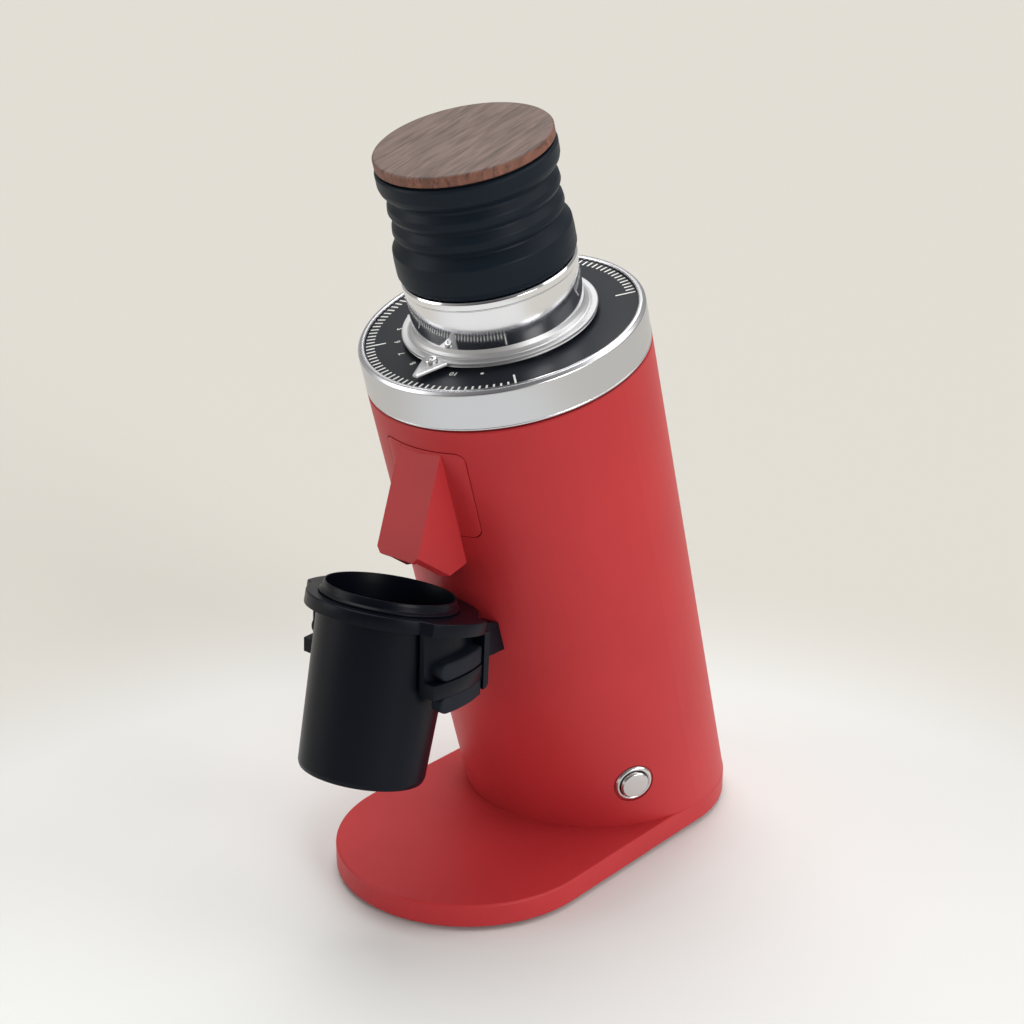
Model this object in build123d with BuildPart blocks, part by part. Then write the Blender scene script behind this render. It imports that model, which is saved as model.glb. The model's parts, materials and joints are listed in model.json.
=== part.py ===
from build123d import *
from math import cos, radians, sin, sqrt
import os

os.makedirs("parts", exist_ok=True)

# ---------------------------------------------------------------------------
# Driving dimensions, in millimetres and degrees.
# The row frame has +Z up, -Y to the front and X = 0 as the plane of symmetry.
# ---------------------------------------------------------------------------
lean = 16.28                 # the column leans this far to the front
foot_lift = 2.0              # the rubber feet hold the base plate off the table
axis_foot_y = 63.65          # where the column axis meets the underside of the base plate

# Base plate
plate_half_width = 61.6
plate_length = 219.2
plate_thickness = 10.75
plate_edge_round = 1.2
foot_radius = 8.0
foot_height = 4.5
foot_spread_x = 42.0
foot_spread_y = 62.0
foot_chamfer = 0.6
foot_screw_radius = 2.0
foot_screw_head = 3.6
foot_screw_sink = 2.6
foot_screw_bite = 5.0
foot_screw_height = 2.0
stud_radius = 3.0
stud_head_radius = 5.0
stud_head = 5.0
stud_socket = 2.6
stud_recess = 0.5
stud_boss_wall = 5.0
stud_boss_height = 14.0
stud_spread_x = 37.0
stud_front_y = -46.5
stud_rear_y = 31.5
screw_clearance = 0.2
fit = 0.1
press = 0.02

# Column, along its own leaning axis
column_radius = 62.6
column_wall = 3.0
column_top = 242.3
ledge_top = 184.0
ledge_height = 5.0
ledge_bore = 54.0
column_edge = 0.5
below_plate = 40.0
spare = 5.0

# Adjusting collar and dial
collar_base = 243.2
collar_top = 261.2
collar_radius = 62.6
collar_rim_inner = 59.3
collar_web_low = 247.0
collar_web_bore = 44.6
skirt_outer = 55.9
skirt_inner = 52.5
skirt_low = 226.0
lip_low = 236.1
lip_high = 240.0
lip_bore = 47.0
dial_top = 259.8
dial_thickness = 1.4
dial_outer = 59.15
dial_inner = 39.6

# Hopper throat, pointer and bellows
throat_low = 236.0
throat_radius = 37.2
throat_bead_radius = 37.7
throat_bead_low = 284.2
throat_bead_high = 288.2
throat_neck_radius = 35.5
throat_high = 299.0
throat_bore = 33.4
flange_low = 261.0
flange_high = 263.5
flange_radius = 42.5
pointer_tip = 55.0
pointer_root_half = 6.8
pointer_end_half = 1.2
pointer_screw_circle = 44.0
pointer_screw_radius = 1.2
pointer_screw_head = 2.6
pointer_screw_height = 1.5
flange_edge = 0.35
cuff_low = 288.4
cuff_high = 301.6
cuff_radius = 38.3
cuff_foot_radius = 36.0
fold_radius = 36.2
fold_heights = (311.8, 321.2)
groove_radius = 33.8
groove_heights = (307.2, 316.6, 325.6)
bellows_bore = 30.6
band_low = 327.4
band_high = 337.5
band_radius = 38.0
band_bore = 33.0

# Lid
lid_low = 338.5
lid_high = 343.2
lid_radius = 37.5
lid_edge_round = 0.7
plug_radius = 31.6
plug_low = 327.5
seal_low = 330.0
seal_high = 333.0
seal_depth = 1.2
plug_flange_inset = 1.6

# Grinding chamber, burrs and motor
chamber_low = 190.0
chamber_floor = 198.0
chamber_shoulder = 222.0
chamber_high = 241.0
chamber_radius = 59.4
chamber_bore = 38.0
chamber_thread_bore = 56.0
burr_radius = 32.0
burr_bore = 17.5
lower_burr_base = 207.0
lower_burr_face = 214.8
burr_gap = 0.35
upper_burr_back = 223.0
carrier_radius = 52.2
carrier_top = 236.0
carrier_rim_low = 225.0
motor_radius = 50.0
motor_low = 72.0
can_low = 84.0
can_high = 172.0
can_wall = 2.0
bell_high = 184.0
shaft_radius = 7.5
running_gap = 0.05
seal_radius = 12.0
screw_circle = 47.0
screw_radius = 2.5
screw_head = 4.2
screw_head_depth = 5.0
spring_circle = 45.0
spring_radius = 3.2
spring_wall = 0.8
spring_seat = 214.0
spring_length = 17.0
pin_radius = 2.5
pin_low = 210.0
pin_high = 233.0
motor_screw_circle = 43.0
motor_screw_radius = 2.0
motor_screw_head = 3.6
motor_screw_depth = 4.0
motor_screw_bite = 8.0
bearing_outer = 17.5
bearing_width = 11.0
bell_wall = 4.0
bearing_wall = 5.0
bell_bore = 10.0
core_low = 104.0
core_high = 150.0
stator_bore = 27.6
rotor_radius = 27.0
winding_inner = 30.0
winding_outer = 45.0
winding_height = 11.0
fan_height = 86.0
fan_thickness = 5.5
fan_hub = 12.0
fan_blades = 9
spindle_tip_radius = 5.0
spindle_shoulder = 200.0
spindle_top = 219.0
carrier_hub = 209.0
carrier_margin = 1.5
sweeper_height = 6.0
burr_screw_circle = 25.0
burr_screw_radius = 1.6
burr_screw_head = 3.0
burr_screw_sink = 3.4
burr_screw_head_height = 2.0
burr_groove_depth = 1.3
burr_groove_circle = 29.5
burr_grooves = 24
nut_flange = 4.0
nut_top = 224.0
nut_base_radius = 8.0
nut_tip_radius = 4.0
nut_depth = 11.2
throat_stud_circle = 35.2
throat_stud_radius = 1.5
throat_stud_depth = 5.0
funnel_lip = 6.0
funnel_height = 16.0

# Chute
panel_half = 21.8
panel_low = 191.0
panel_high = 232.0
panel_thickness = 1.5
panel_gap = 0.5
panel_corner = 4.0
spout_half = 11.7
spout_wall = 1.8
spout_bevel = 2.4
port_half = 8.0
port_low = 199.5
port_high = 214.0
port_corner = 3.0
flap_gap = 0.3
flap_thickness = 0.8
spout_low = 168.0
cavity_top = 224.0
cavity_rear = 50.0

# Dosing cup, tilted back towards the column
cup_tilt = 14.9
cup_mouth_y = axis_foot_y - 143.1
cup_mouth_z = 150.5
cup_depth = 80.6
cup_lip_radius = 28.2
cup_shoulder_radius = 29.8
cup_shoulder_drop = 4.6
cup_neck_radius = 29.5
cup_base_radius = 27.3
cup_wall = 1.6
cup_floor = 2.0
cup_edge_round = 2.4
cuff_ring_drop = 5.0
cuff_ring_height = 5.7
cuff_ring_front = 35.0
cuff_ring_back = 38.8
ring_edge = 0.4
ear_foot = -14.8
ear_start = (36.8, -12.0)
ear_middle = (40.6, 2.0)
ear_end = (38.8, 19.0)

# Fork that carries the cup: two arms with curved flanks, ledges and pads
fork_slot_half = 30.0
fork_front = cup_mouth_y - 15.6
fork_rear = cup_mouth_y + 17.2
fork_bottom = 115.8
fork_tilt = 3.2
fork_blank_height = 40.0
flank_inset = 22.0
flank_middle_y = cup_mouth_y - 4.0
flank_radius = 55.7
fork_ledge_radius = 61.2
fork_ledge_height = 6.3
heel_half = 36.2
heel_thickness = 3.2
heel_bottom = 110.6
heel_round = 2.8
boss_half = 20.0
boss_taper = 10.5
boss_overlap = 4.0
boss_inset = 2.0
boss_bottom = 111.5
boss_step = 1.7
pad_radius = 60.9
pad_front = cup_mouth_y - 11.4
pad_rear = fork_rear - 0.2
pad_height = 7.9
pad_edge_round = 1.2
fork_screw_height = 140.0
fork_screw_half = 9.0
fork_screw_radius = 2.5
fork_screw_head = 4.2
fork_screw_head_height = 3.0
fork_screw_seat = column_radius - column_wall - 1.8
fork_screw_length = 11.5
fork_screw_bite = 9.0

# Power button, on the right flank
button_height = 44.9
button_turn = 60.0
bezel_radius = 9.0
bezel_seat = 61.2
bezel_height = 1.9
bezel_margin = 0.9
button_barrel = 7.9
button_barrel_depth = 16.0
button_radius = 6.6
button_rise = 1.5
button_gap = 0.3
button_cap_depth = 6.0
button_nut_radius = 11.0
button_nut_depth = 8.0
button_nut_thickness = 3.0
button_spring_radius = 4.0
button_spring_length = 1.6
bezel_edge = 0.5

# Power inlet, low on the back
inlet_height = 31.0
inlet_seat = 60.4
inlet_wide = 30.8
inlet_tall = 23.6
inlet_corner = 3.0
inlet_gap = 0.4
inlet_rim = 1.6
inlet_body_wide = 27.0
inlet_body_tall = 20.0
inlet_body_corner = 2.0
inlet_body_depth = 20.0
inlet_floor = 4.0
inlet_pin_length = 13.0
socket_half = 12.0
socket_rise = 8.0
socket_cut = 4.4

# Control board and run capacitor, on the base plate inside the column
board_x = -16.0
board_y = axis_foot_y - 14.0
board_wide = 46.0
board_deep = 34.0
board_lift = 4.0
board_thickness = 1.6
board_inset = 4.0
board_post_radius = 2.5
relay_spots = ((-26.0, axis_foot_y - 14.0), (-8.0, axis_foot_y - 20.0))
relay_size = (12.0, 14.0, 8.0)
capacitor_x = 24.0
capacitor_y = axis_foot_y + 8.0
capacitor_radius = 11.0
capacitor_height = 33.0
capacitor_round = 1.5
capacitor_lift = 0.5

# ---------------------------------------------------------------------------
# Frames: the column's leaning axis and the cup's own axis.
# ---------------------------------------------------------------------------
UP = Vector(0, -sin(radians(lean)), cos(radians(lean)))
FRONT = Vector(0, -cos(radians(lean)), -sin(radians(lean)))
FOOT = Vector(0, axis_foot_y, foot_lift)
COLUMN_SECTION = Plane(origin=FOOT, x_dir=(1, 0, 0), z_dir=FRONT)
COLUMN_AXIS = Axis(FOOT, UP)
PLATE_TOP = foot_lift + plate_thickness

CUP_UP = Vector(0, sin(radians(cup_tilt)), cos(radians(cup_tilt)))
CUP_MOUTH = Vector(0, cup_mouth_y, cup_mouth_z)
CUP_SECTION = Plane(
    origin=CUP_MOUTH,
    x_dir=(1, 0, 0),
    z_dir=(0, -cos(radians(cup_tilt)), sin(radians(cup_tilt))),
)
CUP_AXIS = Axis(CUP_MOUTH, CUP_UP)


def level(height):
    """Plane square to the column axis, with local +Y to the back."""
    return Plane(origin=FOOT + UP * height, x_dir=(1, 0, 0), z_dir=UP)


def cup_level(height):
    """Plane square to the cup axis, measured up from its mouth."""
    return Plane(origin=CUP_MOUTH + CUP_UP * height, x_dir=(1, 0, 0), z_dir=CUP_UP)


def flank(turn, height, radius):
    """Plane tangent to the column, facing out, turned from the front towards +X."""
    side = Vector(1, 0, 0) * sin(radians(turn)) + FRONT * cos(radians(turn))
    return Plane(origin=FOOT + UP * height + side * radius, x_dir=UP.cross(side), z_dir=side)


def turned(outline, section=COLUMN_SECTION, axis=COLUMN_AXIS):
    """A turned piece from its (radius, height) outline."""
    with BuildPart() as piece:
        with BuildSketch(section):
            with BuildLine():
                Polyline(*outline, close=True)
            make_face()
        revolve(axis=axis)
    return piece


def ring(inner, outer, low, high):
    """A plain turned ring on the column axis."""
    return turned([(inner, low), (outer, low), (outer, high), (inner, high)])


def pins(radius, circle, count, low, high, start=0.0):
    """A ring of plain round pins, parallel to the column axis."""
    with BuildPart() as group:
        with BuildSketch(level(low)):
            with PolarLocations(circle, count, start_angle=start):
                Circle(radius)
        extrude(amount=high - low)
    return group


def cut_holes(radius, circle, count, low, high, start=0.0):
    """Cut a ring of round holes in the piece being built."""
    with BuildSketch(level(low)) as holes:
        with PolarLocations(circle, count, start_angle=start):
            Circle(radius)
    extrude(holes.sketch, amount=high - low, mode=Mode.SUBTRACT)


def keep(piece, name):
    """Label a finished piece and write it."""
    piece.part.label = name
    export_step(piece.part, f"parts/{name}.step")


# ---------------------------------------------------------------------------
# Base plate, feet and fasteners
# ---------------------------------------------------------------------------
plate_middle_y = axis_foot_y + 62.3 - plate_length / 2
foot_spots = [
    (x, plate_middle_y + y)
    for x in (-foot_spread_x, foot_spread_x)
    for y in (-foot_spread_y, foot_spread_y)
]
stud_spots = [
    (x, axis_foot_y + y)
    for x in (-stud_spread_x, stud_spread_x)
    for y in (stud_front_y, stud_rear_y)
]
foot_inset = foot_height - foot_lift
stud_head_seat = foot_lift + stud_recess
stud_thread_room = 2.5

with BuildPart() as base_plate:
    with BuildSketch(Plane.XY.offset(foot_lift)):
        with Locations((0, plate_middle_y)):
            SlotOverall(plate_length, 2 * plate_half_width, rotation=90)
    extrude(amount=plate_thickness)
    fillet(base_plate.faces().sort_by(Axis.Z)[-1].edges(), plate_edge_round)
    chamfer(base_plate.faces().sort_by(Axis.Z)[0].edges(), foot_chamfer)
    with BuildSketch(Plane.XY.offset(foot_lift)):
        with Locations(*foot_spots):
            Circle(foot_radius + fit)
    extrude(amount=foot_inset, mode=Mode.SUBTRACT)
    with BuildSketch(Plane.XY.offset(foot_lift)):
        with Locations(*foot_spots):
            Circle(foot_screw_radius)
    extrude(amount=foot_inset + foot_screw_bite, mode=Mode.SUBTRACT)
    with BuildSketch(Plane.XY.offset(foot_lift)):
        with Locations(*stud_spots):
            Circle(stud_radius + screw_clearance)
    extrude(amount=plate_thickness, mode=Mode.SUBTRACT)
    with BuildSketch(Plane.XY.offset(foot_lift)):
        with Locations(*stud_spots):
            Circle(stud_head_radius + screw_clearance)
    extrude(amount=stud_head + stud_recess, mode=Mode.SUBTRACT)
keep(base_plate, "base_plate")

with BuildPart() as rubber_feet:
    with BuildSketch():
        with Locations(*foot_spots):
            Circle(foot_radius)
    extrude(amount=foot_height)
    chamfer(rubber_feet.faces().group_by(Axis.Z)[0].edges(), foot_chamfer)
    with BuildSketch():
        with Locations(*foot_spots):
            Circle(foot_screw_radius)
    extrude(amount=foot_height, mode=Mode.SUBTRACT)
    with BuildSketch():
        with Locations(*foot_spots):
            Circle(foot_screw_head + screw_clearance)
    extrude(amount=foot_screw_sink, mode=Mode.SUBTRACT)
keep(rubber_feet, "rubber_feet")

with BuildPart() as foot_screws:
    with BuildSketch(Plane.XY.offset(foot_screw_sink - foot_screw_height)):
        with Locations(*foot_spots):
            Circle(foot_screw_head)
    extrude(amount=foot_screw_height)
    with BuildSketch(Plane.XY.offset(foot_screw_sink)):
        with Locations(*foot_spots):
            Circle(foot_screw_radius - fit)
    extrude(amount=foot_height + foot_screw_bite - foot_screw_sink - 1.0)
keep(foot_screws, "foot_screws")

with BuildPart() as base_screws:
    with BuildSketch(Plane.XY.offset(stud_head_seat)):
        with Locations(*stud_spots):
            Circle(stud_head_radius)
    extrude(amount=stud_head)
    with BuildSketch(Plane.XY.offset(stud_head_seat + stud_head)):
        with Locations(*stud_spots):
            Circle(stud_radius)
    extrude(amount=stud_boss_height)
    with BuildSketch(Plane.XY.offset(stud_head_seat)):
        with Locations(*stud_spots):
            RegularPolygon(radius=stud_socket, side_count=6)
    extrude(amount=stud_head / 2, mode=Mode.SUBTRACT)
keep(base_screws, "base_screws")


# ---------------------------------------------------------------------------
# Column shell, with the seat of the chute panel, the button and the inlet
# ---------------------------------------------------------------------------
def panel_blank(grow, inner, outer):
    """The curved rounded rectangle of the chute panel, grown by a gap."""
    middle = (panel_low + panel_high) / 2
    with BuildPart() as blank:
        with BuildSketch(flank(0, middle, 0)):
            RectangleRounded(
                2 * (panel_half + grow), panel_high - panel_low + 2 * grow, panel_corner + grow
            )
        extrude(amount=outer + spare)
        with BuildSketch(level(panel_low - spare)):
            Circle(outer)
        extrude(amount=panel_high - panel_low + 2 * spare, mode=Mode.INTERSECT)
        with BuildSketch(level(panel_low - spare)):
            Circle(inner)
        extrude(amount=panel_high - panel_low + 2 * spare, mode=Mode.SUBTRACT)
    return blank


column_bore = column_radius - column_wall
through_wall = column_wall + 2 * spare
port_middle = (port_low + port_high) / 2
panel_seat = panel_blank(panel_gap, column_radius - panel_thickness - fit, column_radius + spare)

with BuildPart() as column_shell:
    with BuildSketch(level(column_top)):
        Circle(column_radius)
    extrude(amount=-(column_top + below_plate))
    chamfer(column_shell.faces().sort_by(Axis.Z)[-1].edges(), column_edge)
    with BuildSketch(level(column_top)):
        Circle(column_bore)
    extrude(amount=-(column_top + below_plate), mode=Mode.SUBTRACT)
    with BuildSketch(level(ledge_top)):
        Circle(column_bore + column_edge)
        Circle(ledge_bore, mode=Mode.SUBTRACT)
    extrude(amount=-ledge_height)
    with BuildSketch(Plane.XY.offset(PLATE_TOP)):
        with Locations(*stud_spots):
            Circle(stud_radius + stud_boss_wall)
    extrude(amount=stud_boss_height)
    with BuildSketch(level(column_top + spare)):
        Circle(column_radius)
    extrude(amount=-(column_top + below_plate), mode=Mode.INTERSECT)
    split(bisect_by=Plane.XY.offset(PLATE_TOP), keep=Keep.TOP)
    with BuildSketch(Plane.XY.offset(PLATE_TOP)):
        with Locations(*stud_spots):
            Circle(stud_radius + fit)
    extrude(amount=stud_boss_height - stud_thread_room, mode=Mode.SUBTRACT)
    add(panel_seat.part, mode=Mode.SUBTRACT)
    with BuildSketch(flank(0, port_middle, column_bore - spare)):
        RectangleRounded(2 * port_half, port_high - port_low, port_corner)
    extrude(amount=through_wall, mode=Mode.SUBTRACT)
    with BuildSketch(flank(0, fork_screw_height, column_bore - spare)):
        with Locations((-fork_screw_half, 0), (fork_screw_half, 0)):
            Circle(fork_screw_radius + fit)
    extrude(amount=through_wall, mode=Mode.SUBTRACT)
    with BuildSketch(flank(button_turn, button_height, bezel_seat)):
        Circle(bezel_radius + bezel_margin)
    extrude(amount=spare, mode=Mode.SUBTRACT)
    with BuildSketch(flank(button_turn, button_height, bezel_seat - through_wall)):
        Circle(button_barrel + 2 * fit)
    extrude(amount=2 * through_wall, mode=Mode.SUBTRACT)
    with BuildSketch(flank(180, inlet_height, inlet_seat)):
        RectangleRounded(inlet_wide + 2 * inlet_gap, inlet_tall + 2 * inlet_gap, inlet_corner + inlet_gap)
    extrude(amount=spare, mode=Mode.SUBTRACT)
    with BuildSketch(flank(180, inlet_height, inlet_seat - through_wall)):
        RectangleRounded(inlet_body_wide + 2 * fit, inlet_body_tall + 2 * fit, inlet_body_corner)
    extrude(amount=2 * through_wall, mode=Mode.SUBTRACT)
keep(column_shell, "column_shell")


# ---------------------------------------------------------------------------
# Chute: a curved panel let into the column, with a hollow wedge-shaped spout
# ---------------------------------------------------------------------------
spout_top = (column_radius - 0.6, 231.0)
spout_front = (89.0, 193.6)
spout_outline = [spout_top, spout_front, (77.4, 179.4), (73.0, 177.2), (60.0, 176.6), (60.0, 231.0)]
spout_run = Vector(spout_front[0] - spout_top[0], spout_front[1] - spout_top[1]).normalized()
spout_inward = Vector(spout_run.Y, -spout_run.X)
inner_top = Vector(*spout_top) + spout_inward * spout_wall
inner_front = Vector(*spout_front) + spout_inward * spout_wall + spout_run * 6.0
cavity_top_radius = inner_top.X + (inner_top.Y - cavity_top) / -spout_run.Y * spout_run.X
cavity_outline = [
    (cavity_rear, cavity_top),
    (cavity_top_radius, cavity_top),
    (inner_front.X, inner_front.Y),
    (80.0, spout_low),
    (cavity_rear, spout_low),
]
# The side view of the spout: local x runs out from the axis to the front, local y up the column.
SPOUT_SIDE = Plane(origin=FOOT, x_dir=FRONT, z_dir=FRONT.cross(UP))
panel = panel_blank(0.0, column_radius - panel_thickness, column_radius + 0.15)

with BuildPart() as chute_cover:
    with BuildSketch(SPOUT_SIDE):
        with BuildLine():
            Polyline(*spout_outline, close=True)
        make_face()
    extrude(amount=spout_half, both=True)
    front_face = chute_cover.faces().sort_by(Axis.Y)[0]
    side_edges = front_face.edges().sort_by(Axis.X)
    chamfer([side_edges[0], side_edges[-1]], spout_bevel)
    with BuildSketch(level(spout_low)):
        Circle(column_radius + running_gap)
    extrude(amount=panel_high - spout_low, mode=Mode.SUBTRACT)
    add(panel.part)
    with BuildSketch(SPOUT_SIDE):
        with BuildLine():
            Polyline(*cavity_outline, close=True)
        make_face()
    extrude(amount=spout_half - spout_wall, both=True, mode=Mode.SUBTRACT)
keep(chute_cover, "chute_cover")

with BuildPart() as declumper_flap:
    with BuildSketch(flank(0, port_middle, column_bore + 2 * fit)):
        RectangleRounded(
            2 * (port_half - flap_gap), port_high - port_low - 2 * flap_gap, port_corner - flap_gap
        )
    extrude(amount=flap_thickness)
    with BuildSketch(flank(0, port_middle, column_bore + 2 * fit)):
        with GridLocations(port_half / 2.5, 0, 4, 1):
            SlotOverall(9.0, 1.0, rotation=90)
    extrude(amount=flap_thickness, mode=Mode.SUBTRACT)
keep(declumper_flap, "declumper_flap")

# ---------------------------------------------------------------------------
# Grinding chamber and what fixes it
# ---------------------------------------------------------------------------
screw_seat = chamber_shoulder - screw_head_depth

with BuildPart() as grinding_chamber:
    with BuildSketch(COLUMN_SECTION):
        with BuildLine():
            Polyline(
                (seal_radius, chamber_low),
                (chamber_radius, chamber_low),
                (chamber_radius, chamber_high),
                (chamber_thread_bore, chamber_high),
                (chamber_thread_bore, chamber_shoulder),
                (chamber_bore, chamber_shoulder),
                (chamber_bore, chamber_floor),
                (seal_radius, chamber_floor),
                close=True,
            )
        make_face()
    revolve(axis=COLUMN_AXIS)
    with BuildSketch(flank(0, port_middle, chamber_bore - spare)):
        RectangleRounded(2 * port_half, port_high - port_low, port_corner)
    extrude(amount=column_radius - chamber_bore + spare, mode=Mode.SUBTRACT)
    cut_holes(screw_radius + fit, screw_circle, 4, chamber_low, chamber_shoulder, 45)
    cut_holes(screw_head + 2 * fit, screw_circle, 4, screw_seat, chamber_shoulder, 45)
    cut_holes(spring_radius + 3 * fit, spring_circle, 3, spring_seat, chamber_shoulder, 30)
    cut_holes(pin_radius + press, spring_circle, 3, pin_low, chamber_shoulder, 90)
keep(grinding_chamber, "grinding_chamber")

with BuildPart() as chamber_screws:
    with BuildSketch(level(chamber_low - screw_head_depth)):
        with PolarLocations(screw_circle, 4, start_angle=45):
            Circle(screw_radius)
    extrude(amount=chamber_shoulder - chamber_low)
    with BuildSketch(level(screw_seat)):
        with PolarLocations(screw_circle, 4, start_angle=45):
            Circle(screw_head)
    extrude(amount=screw_head_depth - 1.0)
keep(chamber_screws, "chamber_screws")

with BuildPart() as carrier_springs:
    with BuildSketch(level(spring_seat)):
        with PolarLocations(spring_circle, 3, start_angle=30):
            Circle(spring_radius)
            Circle(spring_radius - spring_wall, mode=Mode.SUBTRACT)
    extrude(amount=spring_length)
keep(carrier_springs, "carrier_springs")

guide_pins = pins(pin_radius, spring_circle, 3, pin_low, pin_high, 90)
keep(guide_pins, "guide_pins")

shaft_seal = ring(shaft_radius + running_gap, seal_radius - running_gap, chamber_low + 2.0, chamber_floor)
keep(shaft_seal, "shaft_seal")

# ---------------------------------------------------------------------------
# Motor: plate, can, bells, stator and bearings
# ---------------------------------------------------------------------------
motor_screw_seat = chamber_low - motor_screw_depth

with BuildPart() as motor_plate:
    with BuildSketch(level(ledge_top)):
        Circle(chamber_radius)
        Circle(seal_radius, mode=Mode.SUBTRACT)
    extrude(amount=chamber_low - ledge_top)
    cut_holes(motor_screw_radius + 2 * fit, motor_screw_circle, 4, ledge_top, chamber_low)
    cut_holes(motor_screw_head + 2 * fit, motor_screw_circle, 4, motor_screw_seat, chamber_low)
    cut_holes(screw_radius + press, screw_circle, 4, chamber_low - screw_head_depth, chamber_low, 45)
keep(motor_plate, "motor_plate")

with BuildPart() as motor_screws:
    with BuildSketch(level(ledge_top - motor_screw_bite)):
        with PolarLocations(motor_screw_circle, 4):
            Circle(motor_screw_radius)
    extrude(amount=motor_screw_seat - ledge_top + motor_screw_bite)
    with BuildSketch(level(motor_screw_seat)):
        with PolarLocations(motor_screw_circle, 4):
            Circle(motor_screw_head)
    extrude(amount=motor_screw_depth - 4 * fit)
keep(motor_screws, "motor_screws")

bell_hole_low = ledge_top - motor_screw_bite - 1.0

with BuildPart() as motor_upper_bell:
    with BuildSketch(COLUMN_SECTION):
        with BuildLine():
            Polyline(
                (bearing_outer, can_high),
                (bearing_outer + bearing_wall, can_high),
                (bearing_outer + bearing_wall, bell_high - bell_wall),
                (motor_screw_circle - bearing_wall, bell_high - bell_wall),
                (motor_screw_circle - bearing_wall, can_high),
                (motor_radius, can_high),
                (motor_radius, bell_high),
                (bell_bore, bell_high),
                (bell_bore, can_high + bearing_width),
                (bearing_outer, can_high + bearing_width),
                close=True,
            )
        make_face()
    revolve(axis=COLUMN_AXIS)
    cut_holes(motor_screw_radius + fit, motor_screw_circle, 4, bell_hole_low, ledge_top)
keep(motor_upper_bell, "motor_upper_bell")

motor_can = ring(motor_radius - can_wall, motor_radius, can_low, can_high)
keep(motor_can, "motor_can")

motor_lower_bell = turned([
    (bearing_outer, can_low),
    (bearing_outer, can_low - bearing_width),
    (bell_bore, can_low - bearing_width),
    (bell_bore, motor_low),
    (motor_radius, motor_low),
    (motor_radius, can_low),
    (motor_radius - bell_wall, can_low),
    (motor_radius - bell_wall, motor_low + bell_wall),
    (bearing_outer + bearing_wall, motor_low + bell_wall),
    (bearing_outer + bearing_wall, can_low),
])
keep(motor_lower_bell, "motor_lower_bell")

stator_core = ring(stator_bore, motor_radius - can_wall - running_gap, core_low, core_high)
keep(stator_core, "stator_core")

with BuildPart() as stator_windings:
    for low in (core_low - winding_height, core_high):
        with BuildSketch(level(low)):
            Circle(winding_outer)
            Circle(winding_inner, mode=Mode.SUBTRACT)
        extrude(amount=winding_height)
keep(stator_windings, "stator_windings")

bearing_fit = bearing_outer - press
upper_bearing = ring(shaft_radius + running_gap, bearing_fit, can_high, can_high + bearing_width)
keep(upper_bearing, "upper_bearing")
lower_bearing = ring(shaft_radius + running_gap, bearing_fit, can_low - bearing_width, can_low)
keep(lower_bearing, "lower_bearing")

# ---------------------------------------------------------------------------
# Spindle: shaft, rotor, fan, lower burr and its carrier
# ---------------------------------------------------------------------------
tip_bore = spindle_tip_radius + press

rotor_shaft = turned([
    (0, motor_low + 3.0),
    (shaft_radius, motor_low + 3.0),
    (shaft_radius, spindle_shoulder),
    (spindle_tip_radius, spindle_shoulder),
    (spindle_tip_radius, spindle_top),
    (0, spindle_top),
])
keep(rotor_shaft, "rotor_shaft")

rotor_core = ring(shaft_radius + press, rotor_radius, core_low, core_high)
keep(rotor_core, "rotor_core")

with BuildPart() as cooling_fan:
    with BuildSketch(level(fan_height)):
        Circle(fan_hub)
        with PolarLocations(1.5 * fan_hub, fan_blades):
            Rectangle(16.0, 1.6)
        Circle(shaft_radius + press, mode=Mode.SUBTRACT)
    extrude(amount=fan_thickness)
keep(cooling_fan, "cooling_fan")

with BuildPart() as lower_burr_carrier:
    with BuildSketch(COLUMN_SECTION):
        with BuildLine():
            Polyline(
                (tip_bore, spindle_shoulder),
                (burr_radius + carrier_margin, spindle_shoulder),
                (burr_radius + carrier_margin, lower_burr_base),
                (burr_bore - 4 * fit, lower_burr_base),
                (burr_bore - 4 * fit, carrier_hub),
                (tip_bore, carrier_hub),
                close=True,
            )
        make_face()
    revolve(axis=COLUMN_AXIS)
    with BuildSketch(level(spindle_shoulder)):
        with PolarLocations(burr_radius + 2.8, 4):
            Rectangle(5.0, 3.0)
    extrude(amount=sweeper_height)
    cut_holes(burr_screw_radius + fit, burr_screw_circle, 3, spindle_shoulder + 1.0, lower_burr_base)
keep(lower_burr_carrier, "lower_burr_carrier")


def burr(low, high, face_up):
    """A flat burr with radial cutting grooves in its face and three screw holes."""
    groove_low = high - burr_groove_depth if face_up else low
    head_low = high - burr_screw_sink if face_up else low
    with BuildPart() as disc:
        with BuildSketch(level(low)):
            Circle(burr_radius)
            Circle(burr_bore, mode=Mode.SUBTRACT)
        extrude(amount=high - low)
        with BuildSketch(level(groove_low)):
            with PolarLocations(burr_groove_circle, burr_grooves, start_angle=180 / burr_grooves):
                Rectangle(8.0, 1.4, rotation=18)
        extrude(amount=burr_groove_depth, mode=Mode.SUBTRACT)
        cut_holes(burr_screw_radius + 2 * fit, burr_screw_circle, 3, low, high)
        cut_holes(burr_screw_head + 2 * fit, burr_screw_circle, 3, head_low, head_low + burr_screw_sink)
    return disc


def burr_screws(thread_low, head_low, head_high, thread_high):
    """Three burr screws: threads and heads on one circle."""
    with BuildPart() as group:
        with BuildSketch(level(thread_low)):
            with PolarLocations(burr_screw_circle, 3):
                Circle(burr_screw_radius)
        extrude(amount=thread_high - thread_low)
        with BuildSketch(level(head_low)):
            with PolarLocations(burr_screw_circle, 3):
                Circle(burr_screw_head)
        extrude(amount=head_high - head_low)
    return group


upper_burr_face = lower_burr_face + burr_gap
lower_burr = burr(lower_burr_base, lower_burr_face, True)
keep(lower_burr, "lower_burr")
lower_seat = lower_burr_face - burr_screw_sink
lower_burr_screws = burr_screws(
    spindle_shoulder + 1.5, lower_seat, lower_seat + burr_screw_head_height, lower_seat
)
keep(lower_burr_screws, "lower_burr_screws")

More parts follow.
